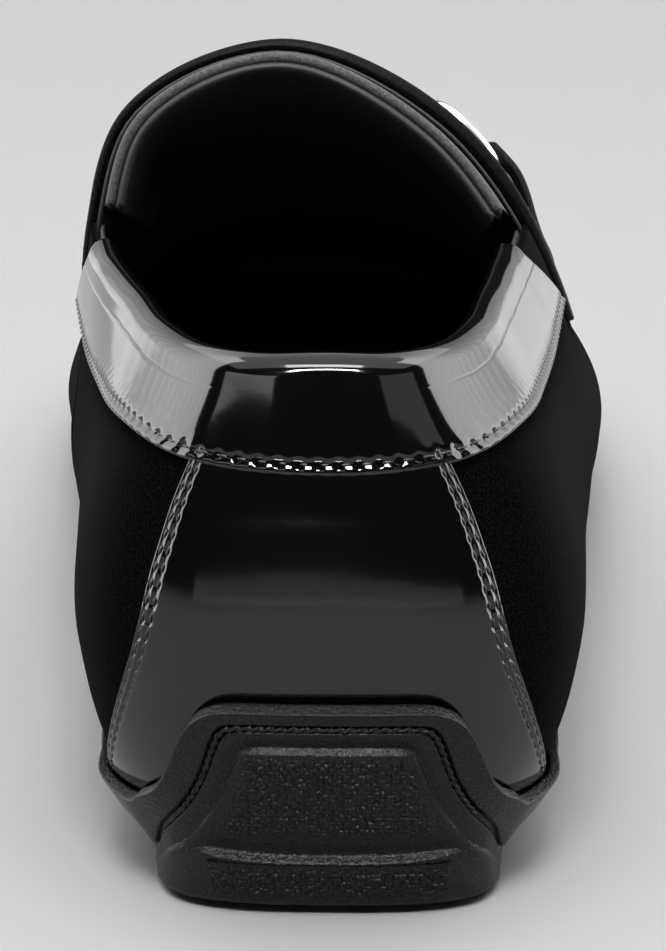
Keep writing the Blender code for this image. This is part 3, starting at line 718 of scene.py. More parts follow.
def lining():
    """Matt leather inside the shoe."""
    return finish_material(
        "lining leather", colour("lining"), colour("velvet_tip"), speckle=1.2, roughness=(0.55, 0.75),
        grain=1.0, grain_depth=0.10)


def felt():
    """Raw cut edge, dark between its fibres."""
    return finish_material(
        "raw felt edge", colour("felt", 0.45), colour("felt"), speckle=0.6, roughness=(0.85, 1.0),
        grain=0.4, grain_depth=0.25)


def thread():
    """Waxed sewing thread."""
    return finish_material(
        "waxed thread", colour("thread"), colour("velvet_tip"), speckle=0.3, roughness=(0.30, 0.45),
        grain=0.25, grain_depth=0.05)


def metal():
    """Polished metal of the bit."""
    return finish_material(
        "polished metal", colour("metal"), colour("metal"), speckle=2.0, roughness=(0.20, 0.30),
        grain=1.5, grain_depth=0.004, sockets={"Metallic": 1.0})


def studio_floor():
    """Even matt floor."""
    return finish_material(
        "studio floor", colour("floor"), colour("floor"), speckle=40.0, roughness=(0.8, 0.9),
        grain=5.0, grain_depth=0.0, sockets={"Specular IOR Level": 0.0})


def apron_relief(s, v):
    """Bell-shaped apron seam on the collar level, cosine gathers just below it, and faint waves."""
    start = np.clip((np.abs(wrapped(s)) - s_at_y(APRON_START_Y)) / APRON_EASE, 0, 1)
    seam = APRON_RISE * bump(v - COLLAR, APRON_SPREAD)
    gathers = GATHER_RISE * np.cos(2 * np.pi * s / GATHER_PITCH) * bump(v - GATHER_LEVEL, GATHER_SPREAD)
    waves = WAVE_RISE * ripple(s, v, 3) * np.clip(v, 0, 1) * np.clip(RIDGE - v, 0, 1)
    return start * (seam + gathers) + waves


def throat_share(s):
    """0 at the cut edge of the throat, 1 from the end of its thinned strip on."""
    return np.clip((np.abs(wrapped(s)) - s_at_y(THROAT_Y)) / THROAT_SKIVE, 0, 1)


class LOAFER_OT_upper(bpy.types.Operator):
    """Velvet wall on the last and the lining inside it, thinned towards the throat."""

    bl_idname = "loafer.upper"
    bl_label = "Upper"

    def execute(self, context):
        turn = s_at_y(THROAT_Y)
        low = np.linspace(0, 2.7, 44)
        rear = np.concatenate([low, np.linspace(2.74, COLLAR, 6)])
        front = np.concatenate([low, np.linspace(2.74, 3.26, 27), np.linspace(3.32, RIDGE, 30)])
        walls = ((-turn, turn, 180, rear), (turn, 2 * S_END - turn, 330, front))
        velvet_thick = size("velvet_thick")
        hollow = WALL - velvet_thick - size("lining_thick")
        for name, finish, slot, thick, stride in (
                ("upper_velvet", velvet(), "velvet", velvet_thick, 1),
                ("upper_lining", lining(), "lining", size("lining_thick"), 2)):
            shapes = []
            for first, last, count, levels in walls:
                levels = np.unique(np.append(levels[::stride], levels[-1]))
                s, v = np.meshgrid(np.linspace(first, last, count // stride), levels, indexing="ij")
                out = apron_relief(s, v)
                if name == "upper_lining":
                    skive = throat_share(s) if first == turn else 1.0
                    out = out - velvet_thick - LAYER_GAP - hollow * skive
                shapes.append((shell(s, v, out).reshape(-1, 3), sheet_faces(*s.shape).tolist()))
            thicken(add_piece(name, join(*shapes), [finish], ["upper"]), thick)
        return {"FINISHED"}


class LOAFER_OT_insole(bpy.types.Operator):
    """Board with a soft edge on the bed of the sole."""

    bl_idname = "loafer.insole"
    bl_label = "Insole"

    def execute(self, context):
        steps = np.linspace(0, S_END, 120)
        edge = np.stack([last_point(side * steps, 0.0) for side in (-1, 1)], 1)
        inward = edge - np.stack([last_point(side * steps, 1.0) for side in (-1, 1)], 1)
        inward[..., 2] = 0
        edge += INSOLE_INSET * inward / np.linalg.norm(inward, axis=-1, keepdims=True)
        share = (1 - np.cos(np.linspace(0, np.pi, 25))) / 2
        base = edge[:, :1] + share[None, :, None] * (edge[:, 1:] - edge[:, :1])
        reach = np.linalg.norm(edge[:, 1] - edge[:, 0], axis=-1)[:, None]
        along = np.minimum(base[..., 1] - base[..., 1].min(), base[..., 1].max() - base[..., 1])
        inside = np.minimum(np.minimum(share, 1 - share) * reach, along)
        rounded = INSOLE_EDGE + (1 - INSOLE_EDGE) * edge_round(inside, INSOLE_ROUND)
        top = base.copy()
        top[..., 2] += size("insole_thick") * rounded
        base[..., 2] += LAYER_GAP
        add_piece("insole_board", slab(top, base), [lining()], ["insole"])
        return {"FINISHED"}


def across_ridge(low, count):
    """Side and level from low on the inner side over the ridge to low on the outer side."""
    step = np.linspace(-1, 1, count)
    return np.where(step < 0, -1.0, 1.0), RIDGE - np.abs(step) * (RIDGE - low)


def loop_over_instep(y, out, low, count):
    """Band over the instep: the closed outline (y, out) carried over the ridge, its rear corners raised."""
    side, v = across_ridge(low, count)
    v = v[:, None]
    corner = np.clip((y.min() + TONGUE_CORNER_RUN - y) / TONGUE_CORNER_RUN, 0, 1)**2
    v = v + TONGUE_CORNER * corner * (RIDGE - v) / (RIDGE - low)
    return shell(side[:, None] * s_at_y(y)[None, :], v, out[None, :] * np.ones_like(v))


class LOAFER_OT_tongue(bpy.types.Operator):
    """Flap under the vamp: a felt layer with a raw rear edge and a lining rolled below it."""

    bl_idname = "loafer.tongue"
    bl_label = "Tongue"

    def execute(self, context):
        depth = TONGUE_DEPTH
        count = 16
        rows = 121
        turn = np.linspace(0, np.pi, 11)
        ahead = np.linspace(TONGUE_FRONT_Y, TONGUE_REAR_Y + TONGUE_FLAT, count)
        wall = size("velvet_thick") + size("lining_thick") + TONGUE_CLEAR
        for name, rear, edge in (("tongue_felt", TONGUE_REAR_Y, felt()),
                                 ("tongue_lining", TONGUE_REAR_Y - TONGUE_SETBACK, lining())):
            thick = size(name)
            y = np.concatenate([ahead, rear + TONGUE_ROUND * (1 - np.sin(turn)), ahead[::-1]])
            fold = thick * (1 - np.cos(turn)) / 2
            drop = depth + np.concatenate([np.zeros(count), fold, np.full(count, thick)])
            skive = np.clip((y - THROAT_Y) / THROAT_SKIVE, 0, 1)
            out = -wall - (WALL + TONGUE_CLEAR_FRONT - wall) * skive - drop
            raw = np.zeros((rows - 1, len(y)), int)
            raw[:, count - 2:-count + 1] = 1
            shape = sleeve(loop_over_instep(y, out, TONGUE_LEVEL, rows))
            marks = np.append(raw.reshape(-1), [0, 0])
            add_piece(name, shape, [lining(), edge], ["tongue"], marks)
            depth += thick + LAYER_GAP
        return {"FINISHED"}


def counter_edge(share):
    """Half width of the heel overlay along the heel, from its foot, 0, to the collar band, 1."""
    return smooth(np.array((0.0, 0.1, 0.2, 0.3, 0.45, 0.7, 1.0)),
                  np.array((43.0, 41.0, 35.6, 31.1, 26.6, 23.6, 21.2)), share)


def band_level(s):
    """Level of the lower edge of the collar band, a little higher at the corners of the heel."""
    return smooth(np.array((0.0, 20.0, 40.0, 62.0, 97.0, 128.0)),
                  np.array((2.30, 2.35, 2.43, 2.39, 2.33, 2.36)), np.abs(s), 0.0)


class LOAFER_OT_heel_counter(bpy.types.Operator):
    """Patent overlay on the back of the heel with two rows of stitches along each side."""

    bl_idname = "loafer.heel_counter"
    bl_label = "Heel counter"

    def execute(self, context):
        pitch = size("counter_pitch")
        thick = size("counter_thick")
        share = np.linspace(COUNTER_FOOT, 1, 230)[:, None]
        half = counter_edge(share)
        fine = np.broadcast_to(COUNTER_INSETS, (len(share), len(COUNTER_INSETS)))
        middle = COUNTER_INSETS[-1] + np.linspace(0, 1, 16)[1:]**1.2 * (half - COUNTER_INSETS[-1])
        inset = np.concatenate([fine, middle], 1)
        s = np.concatenate([-(half - inset), (half - inset)[:, -2::-1]], 1)
        inset = np.concatenate([inset, inset[:, -2::-1]], 1)
        run = lengths(shell(half[:, 0], share[:, 0] * COUNTER_TOP_LEVEL))[:, None]
        hole = stitch_holes(run / pitch, COUNTER_HOLE_SPREAD)
        depth = COUNTER_SUNK + COUNTER_HOLE_DEPTH * hole
        sunk = depth * sum(bump(inset - row, COUNTER_ROW_SPREAD) for row in COUNTER_ROWS)
        swell = COUNTER_SWELL * bump(inset - sum(COUNTER_ROWS) / 2, COUNTER_SWELL_SPREAD) * (1 - hole)
        waves = COUNTER_WAVE * ripple(s * 1.6, share * 3, 8)
        out = COUNTER_LIFT + thick * edge_round(inset, COUNTER_ROUND) - sunk + swell + waves
        s = s + COUNTER_SHIFT
        v = share * (band_level(s) + COUNTER_OVERLAP)
        shape = slab(shell(s, v, out), shell(s, v, UNDER_GAP))
        add_piece("heel_counter_patent", shape, [patent()], ["heel_counter"])
        rows = []
        for side in (-1, 1):
            for row in COUNTER_ROWS:
                at = side * (half[:, 0] - row) + COUNTER_SHIFT
                level = share[:, 0] * (band_level(at) + COUNTER_OVERLAP)
                path = shell(at, level, COUNTER_LIFT + thick - COUNTER_STITCH["sink"])
                stitches = spaced(path, last_normal(at, level), pitch)
                rows.append(stitch_rods(*stitches, COUNTER_STITCH["share"] * pitch, size("thread_radius"),
                                        COUNTER_STITCH["dive"]))
        add_piece("heel_counter_stitches", join(*rows), [thread()])
        return {"FINISHED"}


def band_leaf(across, run, height):
    """Columns, levels and rise of the band's outer leaf.

    The rise is its thickness, rounded at the lower edge, plus cosine puckers at the stitch pitch and faint
    waves, less the sunk seam with its holes and the crease under the roll.
    """
    phase = (run / size("band_pitch"))[:, None]
    fine = np.broadcast_to(BAND_INSETS, (len(across), len(BAND_INSETS)))
    between = np.linspace(0, 1, 8)[1:-1] * (height - BAND_DROPS[0] - BAND_INSETS[-1])
    inset = np.concatenate([fine, BAND_INSETS[-1] + between, height - np.array(BAND_DROPS)], 1)
    share = inset / height
    s = across[:, None] * ((1 - share) * s_at_y(BAND_END_LOW) + share * s_at_y(BAND_END_TOP))
    v = band_level(s) + share * (COLLAR - band_level(s))
    at_side = np.clip((np.abs(s) - BAND_SIDE_START) / BAND_SIDE_EASE, 0, 1)
    below = np.clip(1 - np.abs(inset - BAND_PUCKER_AT), 0, 1)
    above = np.where(inset > BAND_SEAM, np.exp(BAND_SEAM - inset), 0)
    uneven = 1 + 0.5 * ripple(s * 5, 0 * s, 21)
    strength = BAND_PUCKER_BACK + (1 - BAND_PUCKER_BACK) * at_side
    depth = BAND_PUCKER_LOW * below + BAND_PUCKER_HIGH * above * uneven
    pucker = -np.cos(2 * np.pi * phase) * depth * strength
    hole = stitch_holes(phase, BAND_HOLE_SPREAD)
    sunk = bump(inset - BAND_SEAM, BAND_SEAM_SPREAD) * (BAND_SUNK + BAND_HOLE_DEPTH * hole)
    crease_at = BAND_CREASE + BAND_CREASE_WANDER * ripple(s * 4, 0 * s, 9)
    crease = BAND_CREASE_DEPTH * at_side * bump(height - inset - crease_at, BAND_CREASE_SPREAD)
    calm = np.clip((inset - BAND_WAVE_START) / BAND_WAVE_EASE, 0, 1)
    waves = BAND_WAVE * ripple(s * 1.3, v, 5) * calm
    return s, v, size("band_thick") * edge_round(inset, BAND_ROUND) + pucker - sunk - crease + waves


def band_roll(across, ends):
    """Half round over the top line with a hem down the inner side, and the flat core that it wraps."""
    s = across * s_at_y(BAND_END_TOP)
    edge = last_point(s, COLLAR)
    normal = last_normal(s, COLLAR)
    rise = edge - last_point(s, COLLAR - 0.05)
    rise /= np.linalg.norm(rise, axis=-1, keepdims=True)
    radius = WALL / 2 + BAND_LIFT + size("band_thick")
    swell = 1 + BAND_ROLL_SWELL * ripple(s * 1.7, 0 * s, 12)[:, None]
    turn = np.radians(np.linspace(BAND_ROLL_START, 180, BAND_ROLL_STEPS))
    hem = (len(across), BAND_HEM_STEPS)
    down = np.linspace(-BAND_HEM_START, -BAND_HEM, BAND_HEM_STEPS)
    side = np.concatenate([radius * np.cos(turn) * swell, np.full(hem, -radius)], 1) * ends - WALL / 2
    high = (radius + BAND_ROLL_RISE * np.sin(turn)) * np.sin(turn) * swell
    high = np.concatenate([high, np.broadcast_to(down, hem)], 1)
    core_side = np.linspace(BAND_CORE_GAP, -WALL - BAND_CORE_GAP, BAND_ROLL_STEPS)
    core_side = np.append(core_side, np.full(BAND_HEM_STEPS, core_side[-1]))
    core_high = np.append(np.full(BAND_ROLL_STEPS, BAND_CORE_GAP), down)
    return [edge[:, None] + a[..., None] * normal[:, None] + b[..., None] * rise[:, None]
            for a, b in ((side, high), (core_side, core_high))]


class LOAFER_OT_collar_band(bpy.types.Operator):
    """Patent binding rolled over the top line, puckered along its stitched lower edge."""

    bl_idname = "loafer.collar_band"
    bl_label = "Collar band"

    def execute(self, context):
        pitch = size("band_pitch")
        across = np.linspace(-1, 1, 740)
        low_s = across * s_at_y(BAND_END_LOW)
        low_v = band_level(low_s)
        run = lengths(shell(low_s, low_v))
        height = np.linalg.norm(last_point(low_s, COLLAR) - last_point(low_s, low_v), axis=-1)
        ends = (edge_round(run, BAND_END_ROUND) * edge_round(run[-1] - run, BAND_END_ROUND))[:, None]
        s, v, out = band_leaf(across, run, height[:, None])
        roll, core = band_roll(across, ends)
        outer = np.concatenate([shell(s, v, BAND_LIFT + out * ends), roll], 1)
        inner = np.concatenate([shell(s, v, UNDER_GAP), core], 1)
        add_piece("collar_band_patent", slab(outer, inner), [patent()], ["collar_band"])

        level = low_v + BAND_SEAM / height * (COLLAR - low_v)
        seam = low_s * (1 - 0.1 * BAND_SEAM / height)
        sewn = slice(4, -4)
        path = shell(seam, level, BAND_LIFT + size("band_thick") - BAND_STITCH["sink"])[sewn]
        stitches = spaced(path, last_normal(seam, level)[sewn], pitch)
        shape = stitch_rods(*stitches, BAND_STITCH["share"] * pitch,
                            BAND_STITCH["thick"] * size("thread_radius"), BAND_STITCH["dive"])
        add_piece("collar_band_stitches", shape, [thread()])
        return {"FINISHED"}


def strap_taper(side, v):
    """Share of the strap's thickness left at a level: thinner on the inner side and towards both ends."""
    over = np.where(side < 0, np.interp(v, (4.2, 5.0), (0.6, 0.8)), np.interp(v, (4.2, 5.0), (1.0, 0.8)))
    return over * np.interp(v, (2.6, 3.4), (0.6, 1.0))


class LOAFER_OT_saddle_strap(bpy.types.Operator):
    """Leather strap across the instep with a turned hem and a row of stitches near each edge."""

    bl_idname = "loafer.saddle_strap"
    bl_label = "Saddle strap"

    def execute(self, context):
        thick = size("strap_thick")
        hem = size("strap_hem")
        quarter = np.linspace(0, np.pi / 2, 6)
        top_y = np.concatenate([STRAP_REAR_Y + STRAP_ROUND * (1 - np.cos(quarter)),
                                np.linspace(STRAP_REAR_Y + 1.1, STRAP_FRONT_Y - 1.0, 44),
                                STRAP_FRONT_Y - STRAP_ROUND * (1 - np.sin(quarter))])
        under_y = np.linspace(STRAP_FRONT_Y - 0.1, STRAP_REAR_Y + 0.1, 20)
        body = thick + (hem - thick) * np.clip((STRAP_HEM_Y - top_y) / STRAP_HEM_EASE, 0, 1)
        rounded = edge_round(np.minimum(top_y - STRAP_REAR_Y, STRAP_FRONT_Y - top_y), STRAP_ROUND)
        groove = sum(bump(top_y - seam, STRAP_SEAM_SPREAD) for seam in (STRAP_SEAM_REAR, STRAP_SEAM_FRONT))
        y = np.concatenate([top_y, under_y])
        out = STRAP_LIFT + body * rounded - STRAP_SEAM_DEPTH * groove
        out = np.concatenate([out, np.full(len(under_y), UNDER_GAP)])
        side, v = across_ridge(STRAP_LEVEL, 160)
        taper = strap_taper(side, v)
        s = side[:, None] * s_at_y(y)
        points = shell(s, v[:, None] + 0 * s, out * taper[:, None])
        add_piece("saddle_strap_leather", sleeve(points), [strap_leather()], ["saddle_strap"])
        rows = []
        for seam, lift in ((STRAP_SEAM_REAR, hem), (STRAP_SEAM_FRONT, thick)):
            s = side * s_at_y(seam)
            path = shell(s, v, (lift - STRAP_STITCH["sink"]) * taper)
            stitches = spaced(path, last_normal(s, v), STRAP_PITCH)
            rows.append(stitch_rods(*stitches, STRAP_STITCH["length"], size("thread_radius"),
                                    STRAP_STITCH["dive"]))
        add_piece("saddle_strap_stitches", join(*rows), [thread()])
        return {"FINISHED"}


def over_strap(y, level, out):
    """Point over the strap at a level from the ridge, outer side positive, and the normal there."""
    side = np.where(level < 0, -1, 1)
    s = side * s_at_y(y)
    v = RIDGE - np.abs(level)
    top = (STRAP_LIFT + size("strap_thick")) * strap_taper(side, v)
    return shell(s, v, top + out), last_normal(s, v)


def bit_ring(name):
    """Rounded square of a superellipse, laid on the strap and tilted."""
    at = RING_AT[name]
    turn = np.linspace(0, 2 * np.pi, 96, endpoint=False)
    along, across = [np.sign(wave) * np.abs(wave)**RING_POWER for wave in (np.cos(turn), np.sin(turn))]
    lift = RING_TILT[name] * (1 - np.sign(at) * across) / 2
    radius = size("rod_radius")
    path, normal = over_strap(BIT_Y + RING_REACH_Y * along, at + RING_REACH * across, GAP + radius + lift)
    return ring_tube(path, normal, radius, BIT_SIDES)


def bit_bar():
    """Rod from ring to ring with two bell-shaped swellings and rounded ends."""
    count = 90
    reach = RING_REACH + BAR_CLEAR
    level = np.linspace(RING_AT["medial"] + reach, RING_AT["lateral"] - reach, count)
    step = np.abs(np.linspace(-1, 1, count))
    swell = BAR_RADIUS + sum(rise * bump(step - at, spread) for rise, at, spread in BAR_BEADS)
    swell = swell * np.sqrt(np.clip(1 - ((step - 1 + BAR_TIP) / BAR_TIP).clip(0)**2, 0.05, 1))
    lift = np.linspace(RING_TILT["medial"], RING_TILT["lateral"], count)
    path, normal = over_strap(np.full(count, BIT_Y), level, GAP + swell + lift)
    return rod(path, normal, swell[:, None], BIT_SIDES)


def bit_loop(name):
    """Leather strip: a smooth step up over a ring's rod, back down to the strap, and a rounded end."""
    at = RING_AT[name]
    rod_level = at + np.sign(at) * RING_REACH
    y = np.linspace(BIT_Y - KEEPER_BACK[name], BIT_Y + KEEPER_FRONT, 24)[:, None]
    span = np.linspace(0, 1, 90)[None, :]
    past = -KEEPER_REACH + span * (KEEPER_END[name] - np.abs(rod_level) + KEEPER_REACH)
    fall = min(KEEPER_FALL, past.max())
    hump = np.interp(past, (-KEEPER_REACH, -KEEPER_CREST, KEEPER_CREST, fall), (0.0, 1.0, 1.0, 0.0))
    climb = 2 * (size("rod_radius") + GAP) + KEEPER_TILT * RING_TILT[name]
    low = climb * hump * hump * (3 - 2 * hump) - LAYER_GAP
    rounded = edge_round(past.max() - past, KEEPER_TIP)
    level = rod_level + np.sign(at) * past
    y, level, low, rounded = np.broadcast_arrays(y, level, low, rounded)
    side = np.minimum(y - y.min(), y.max() - y)
    top = low + KEEPER_EDGE + rounded * edge_round(side, KEEPER_ROUND)
    return slab(over_strap(y, level, top)[0], over_strap(y, level, low)[0])


class LOAFER_OT_bit(bpy.types.Operator):
    """Plain metal snaffle bit: two rounded rings, the bar between them, and the loops that hold them."""

    bl_idname = "loafer.bit"
    bl_label = "Bit"

    def execute(self, context):
        for name in RING_AT:
            add_piece("bit_ring_rod_" + name, bit_ring(name), [metal()], ["bit_ring_" + name])
        add_piece("bit_bar_links", bit_bar(), [metal()], ["bit_bar"])
        for name in RING_AT:
            add_piece("bit_loop_" + name, bit_loop(name), [strap_leather()],
                      ["bit_keeper_" + name])
        return {"FINISHED"}


def sole_profile(name, y):
    """One column of the sole's table at y."""
    return np.interp(y, SOLE["y"], SOLE[name])


def sole_rim(s):
    """Widest line of the last and its outward direction in plan."""
    here = last_point(s, 1.0)[..., :2]
    ahead = last_point(s + 0.5, 1.0)[..., :2] - last_point(s - 0.5, 1.0)[..., :2]
    outward = np.stack([ahead[..., 1], -ahead[..., 0]], -1)
    return here, outward / np.linalg.norm(outward, axis=-1, keepdims=True)


def sole_point(s, out, z):
    """Point at height z, a distance out from the widest line in plan."""
    here, outward = sole_rim(s)
    return np.concatenate([here + out[..., None] * outward, z[..., None]], -1)


def heel_face(z):
    """Reach of the leaning back face of the heel block past the widest line, at height z."""
    return FACE_TOP_OUT - FACE_LEAN * (FACE_TOP_Z - z)


def side_share(s):
    """How far a column has gone over from the leaning back of the heel, 0, to the side of the sole, 1."""
    t = np.clip((s - CORNER[0]) / (CORNER[1] - CORNER[0]), 0, 1)
    return t * t * (3 - 2 * t)


def fine_tab():
    """Heel outlines with three points set between each pair of rows and their corners eased."""
    rows = len(HEEL_TAB["lip_s"])
    at = np.linspace(0, rows - 1, 4 * (rows - 1) + 1)
    tab = {}
    for name, values in HEEL_TAB.items():
        line = np.interp(at, np.arange(rows), values)
        for _ in range(3):
            line[1:-1] = (line[:-2] + 2 * line[1:-1] + line[2:]) / 4
        tab[name] = line
    return tab


def sole_columns():
    """Columns past the heel tab: rest of the heel fan, sides with pad grooves, toe fan."""
    heel = np.linspace(HEEL_TAB["floor_s"][-1], s_at_y(HEEL_Y), 22)
    edges = (-PAD_GROOVE_HALF - 0.5, -PAD_GROOVE_HALF + 0.3, PAD_GROOVE_HALF - 0.3, PAD_GROOVE_HALF + 0.5)
    grooves = np.array([y + d for y in PAD_GROOVES for d in edges])
    plain = np.concatenate([np.arange(43, 67, 3.0), (68, 72), np.arange(75, 135, 4.0), (136, 140),
                            np.arange(143, 157, 4.0), np.arange(163, 175, 3.0), np.arange(181, 193, 3.0)])
    along = np.sort(np.concatenate([plain, grooves]))
    return np.concatenate([heel, s_at_y(along), np.linspace(s_at_y(BALL_Y), S_END, 46)])


def sole_rings(side):
    """One side of the sole, ring by ring from the bed over the lip to the floor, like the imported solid."""
    tab = fine_tab()
    rest = sole_columns()
    y = last_point(rest, 1.0)[..., 1]
    lip_z = np.concatenate([tab["lip_z"], sole_profile("lip", y)])
    lip_s = np.concatenate([tab["lip_s"], rest])
    share = side_share(lip_s)
    clear = np.interp(lip_s, COUNTER_END, (LIP_CLEAR_COUNTER, LIP_CLEAR))
    bed = last_point(side * lip_s, 0.0)
    bed[..., 2] -= GAP
    rise = level_at_z(side * lip_s, lip_z) - CUP_LEVEL
    cup = [shell(side * lip_s, CUP_LEVEL + step * rise, clear) for step in CUP_STEPS]
    cup[-1][..., 2] = lip_z
    here, outward = sole_rim(side * lip_s)
    side_lip = ((cup[-1][..., :2] - here) * outward).sum(-1) + LIP_WIDTH
    lip_out = (1 - share) * heel_face(lip_z) + share * side_lip
    edge_z = lip_z - LIP_CHAMFER * (1 - share)
    rings = [bed, *cup, sole_point(side * lip_s, lip_out, edge_z)]

    band = sole_profile("band", y)
    floor = sole_profile("floor", y)
    groove = (np.abs(y[:, None] - np.array(PAD_GROOVES)) < PAD_GROOVE_HALF).any(1)
    tread = floor + np.where(groove, PAD_GROOVE_RISE, 0.0)
    wider = np.interp(np.concatenate([0 * tab["lip_s"], y]), WIDENING_Y, (0.0, FOREFOOT_WIDER))
    row = np.linspace(0, len(HEEL_TAB["lip_s"]) - 1, len(tab["lip_s"]))
    corner = np.interp(row, *LEDGE_ROWS)
    fade = np.interp(row, *RELIEF_ROWS)
    rest_one = np.ones(len(rest))
    for name in RINGS:
        if name == "belly":
            tab_s = (tab["lip_s"] + tab["frame_s"]) / 2
            tab_z = (tab["lip_z"] + tab["frame_z"]) / 2
            proud = 0.0
        elif name in GROOVE_SHARE:
            part = GROOVE_SHARE[name]
            tab_s = (1 - part) * tab["frame_s"] + part * tab["block_s"]
            tab_z = (1 - part) * tab["frame_z"] + part * tab["block_z"]
            proud = -GROOVE_DEPTH
        elif name in ("border", "panel"):
            drop = LEDGE if name == "panel" else 0.0
            tab_s = tab["panel_s"]
            tab_z = tab["panel_z"] - drop * corner
            proud = np.append(-HEEL_RELIEF + fade * (1.1 * drop - 0.4), -HEEL_RELIEF * rest_one)
        elif name in ("ledge", "ledge_low"):
            drop = LEDGE if name == "ledge_low" else 0.0
            tab_s = tab["ledge_s"]
            tab_z = tab["ledge_z"] - 0.9 * drop
            proud = np.append(0.3 + 0.2 * drop + fade * (1.3 * drop - 0.5), 0.4 * rest_one)
        elif name in ("round", "floor"):
            tab_s = tab["floor_s"]
            tab_z = np.full(len(tab_s), FLOOR_ROUND_Z if name == "round" else 0.0)
            proud = FLOOR_ROUND_OUT if name == "round" else -FLOOR_IN
        else:
            tab_s = tab[name + "_s"]
            tab_z = tab[name + "_z"]
            proud = -HEEL_RELIEF
        low = tread if name in ("round", "floor") else floor
        z = np.concatenate([tab_z, low + RING_SHARE[name] * (band - low)])
        s = np.concatenate([tab_s, rest])
        share = side_share(s)
        if name == "belly":
            side_out = (side_lip + SIDE_OUT["frame"] + wider) / 2 + BELLY_RISE
        else:
            side_out = SIDE_OUT[name] + wider
        out = (1 - share) * (heel_face(z) + proud) + share * side_out
        rings.append(sole_point(side * s, out, z))
    return np.array(rings)


def supported(rings, hold=0.16):
    """Rings with a helper ring close on each side, so that a subdivided edge stays narrow."""
    before = rings + hold * (np.roll(rings, 1, 0) - rings)
    after = rings + hold * (np.roll(rings, -1, 0) - rings)
    every = np.stack([before, rings, after], 1).reshape(-1, *rings.shape[1:])
    return every[1:-1]


class LOAFER_OT_outsole(bpy.types.Operator):
    """Moulded rubber cup sole with its heel tab, panel, ledge, grooves and lugs."""

    bl_idname = "loafer.outsole"
    bl_label = "Outsole"

    def execute(self, context):
        inner, outer = [supported(sole_rings(side)) for side in (-1, 1)]
        loop = np.concatenate([inner, outer[:, ::-1]], 1)
        count = loop.shape[1]
        index = np.arange(loop.shape[0] * count).reshape(-1, count)
        faces = quads(np.concatenate([index, index[:, :1]], 1)).tolist()
        points = [loop.reshape(-1, 3)]
        first = loop.shape[0] * count
        share = np.linspace(0, 1, 9)[:, None, None]
        for row in (0, -1):
            bridge = inner[row] + share * (outer[row] - inner[row])
            faces += sheet_faces(*bridge.shape[:2], first).tolist()
            points.append(bridge.reshape(-1, 3))
            first += bridge.shape[0] * bridge.shape[1]
        shape = (np.concatenate(points), faces)
        sole = add_piece("outsole_rubber", shape, [rubber()], ["outsole"])
        eased = sole.modifiers.new("eased edges", "SUBSURF")
        eased.levels = 1
        eased.render_levels = 1
        return {"FINISHED"}


GRAIN_STEP = 0.13
GRAIN_PITCH = 0.62
GRAIN_RISE = 0.30
GRAIN_FADE = 1.6
GRAIN_SUNK = 0.06
BEAD_RISE = 0.22
# Pebbled panel and pad: heights of top and foot, half widths there, and how proud of the heel they lie
GRAIN_PANEL = (25.3, 11.4, 10.9, 15.8, 0.58, 0.36)
GRAIN_PAD = (8.1, 1.9, 17.0, 18.6, 1.5, 1.15)
CORD_RADIUS = 0.42
CORD_LAY = 1.5
CORD_WAIST = 0.28
CORD_PROUD = 0.30
CORD_SIDES = 12
# Points of the heel groove, from the middle of the back, that the cord follows on each side
CORD_POINTS = 21


def pebble_distance(a, b, pitch):
    """Distance to the nearest of many pebble middles: one in each square cell, moved by a sine hash."""
    cell_a = np.floor(a / pitch)
    cell_b = np.floor(b / pitch)
    best = np.full(a.shape, pitch)
    for near_a in (-1, 0, 1):
        for near_b in (-1, 0, 1):
            i = cell_a + near_a
            j = cell_b + near_b
            move_a = np.sin(12.9898 * i + 78.233 * j) * 43758.5453 % 1
            move_b = np.sin(39.346 * i + 11.135 * j) * 24634.6345 % 1
            off_a = a - (i + 0.2 + 0.6 * move_a) * pitch
            off_b = b - (j + 0.2 + 0.6 * move_b) * pitch
            best = np.minimum(best, np.hypot(off_a, off_b))
    return best


def grain_patch(top, low, half_top, half_low, proud_top, proud_low):
    """Skin of round pebbles on the back of the heel between two heights, sunk in at its border."""
    across, down = np.meshgrid(np.linspace(-1, 1, 2 * int(half_low / GRAIN_STEP)),
                               np.linspace(0, 1, int((top - low) / GRAIN_STEP)))
    z = top + down * (low - top)
    half = half_top + down * (half_low - half_top)
    s = across * half
    border = np.minimum((1 - np.abs(across)) * half, np.minimum(top - z, z - low))
    round_top = 1 - np.clip(pebble_distance(s + 60, z, GRAIN_PITCH) / (0.56 * GRAIN_PITCH), 0, 1)**2
    height = (GRAIN_RISE + BEAD_RISE * np.exp((z - top) / GRAIN_FADE)) * np.sqrt(round_top)
    shown = np.clip(border / GRAIN_FADE, 0, 1)
    proud = proud_top + down * (proud_low - proud_top)
    out = heel_face(z) + proud + height * shown - GRAIN_SUNK * (1 - shown)
    return sole_point(s, out, z).reshape(-1, 3), sheet_faces(*s.shape).tolist()


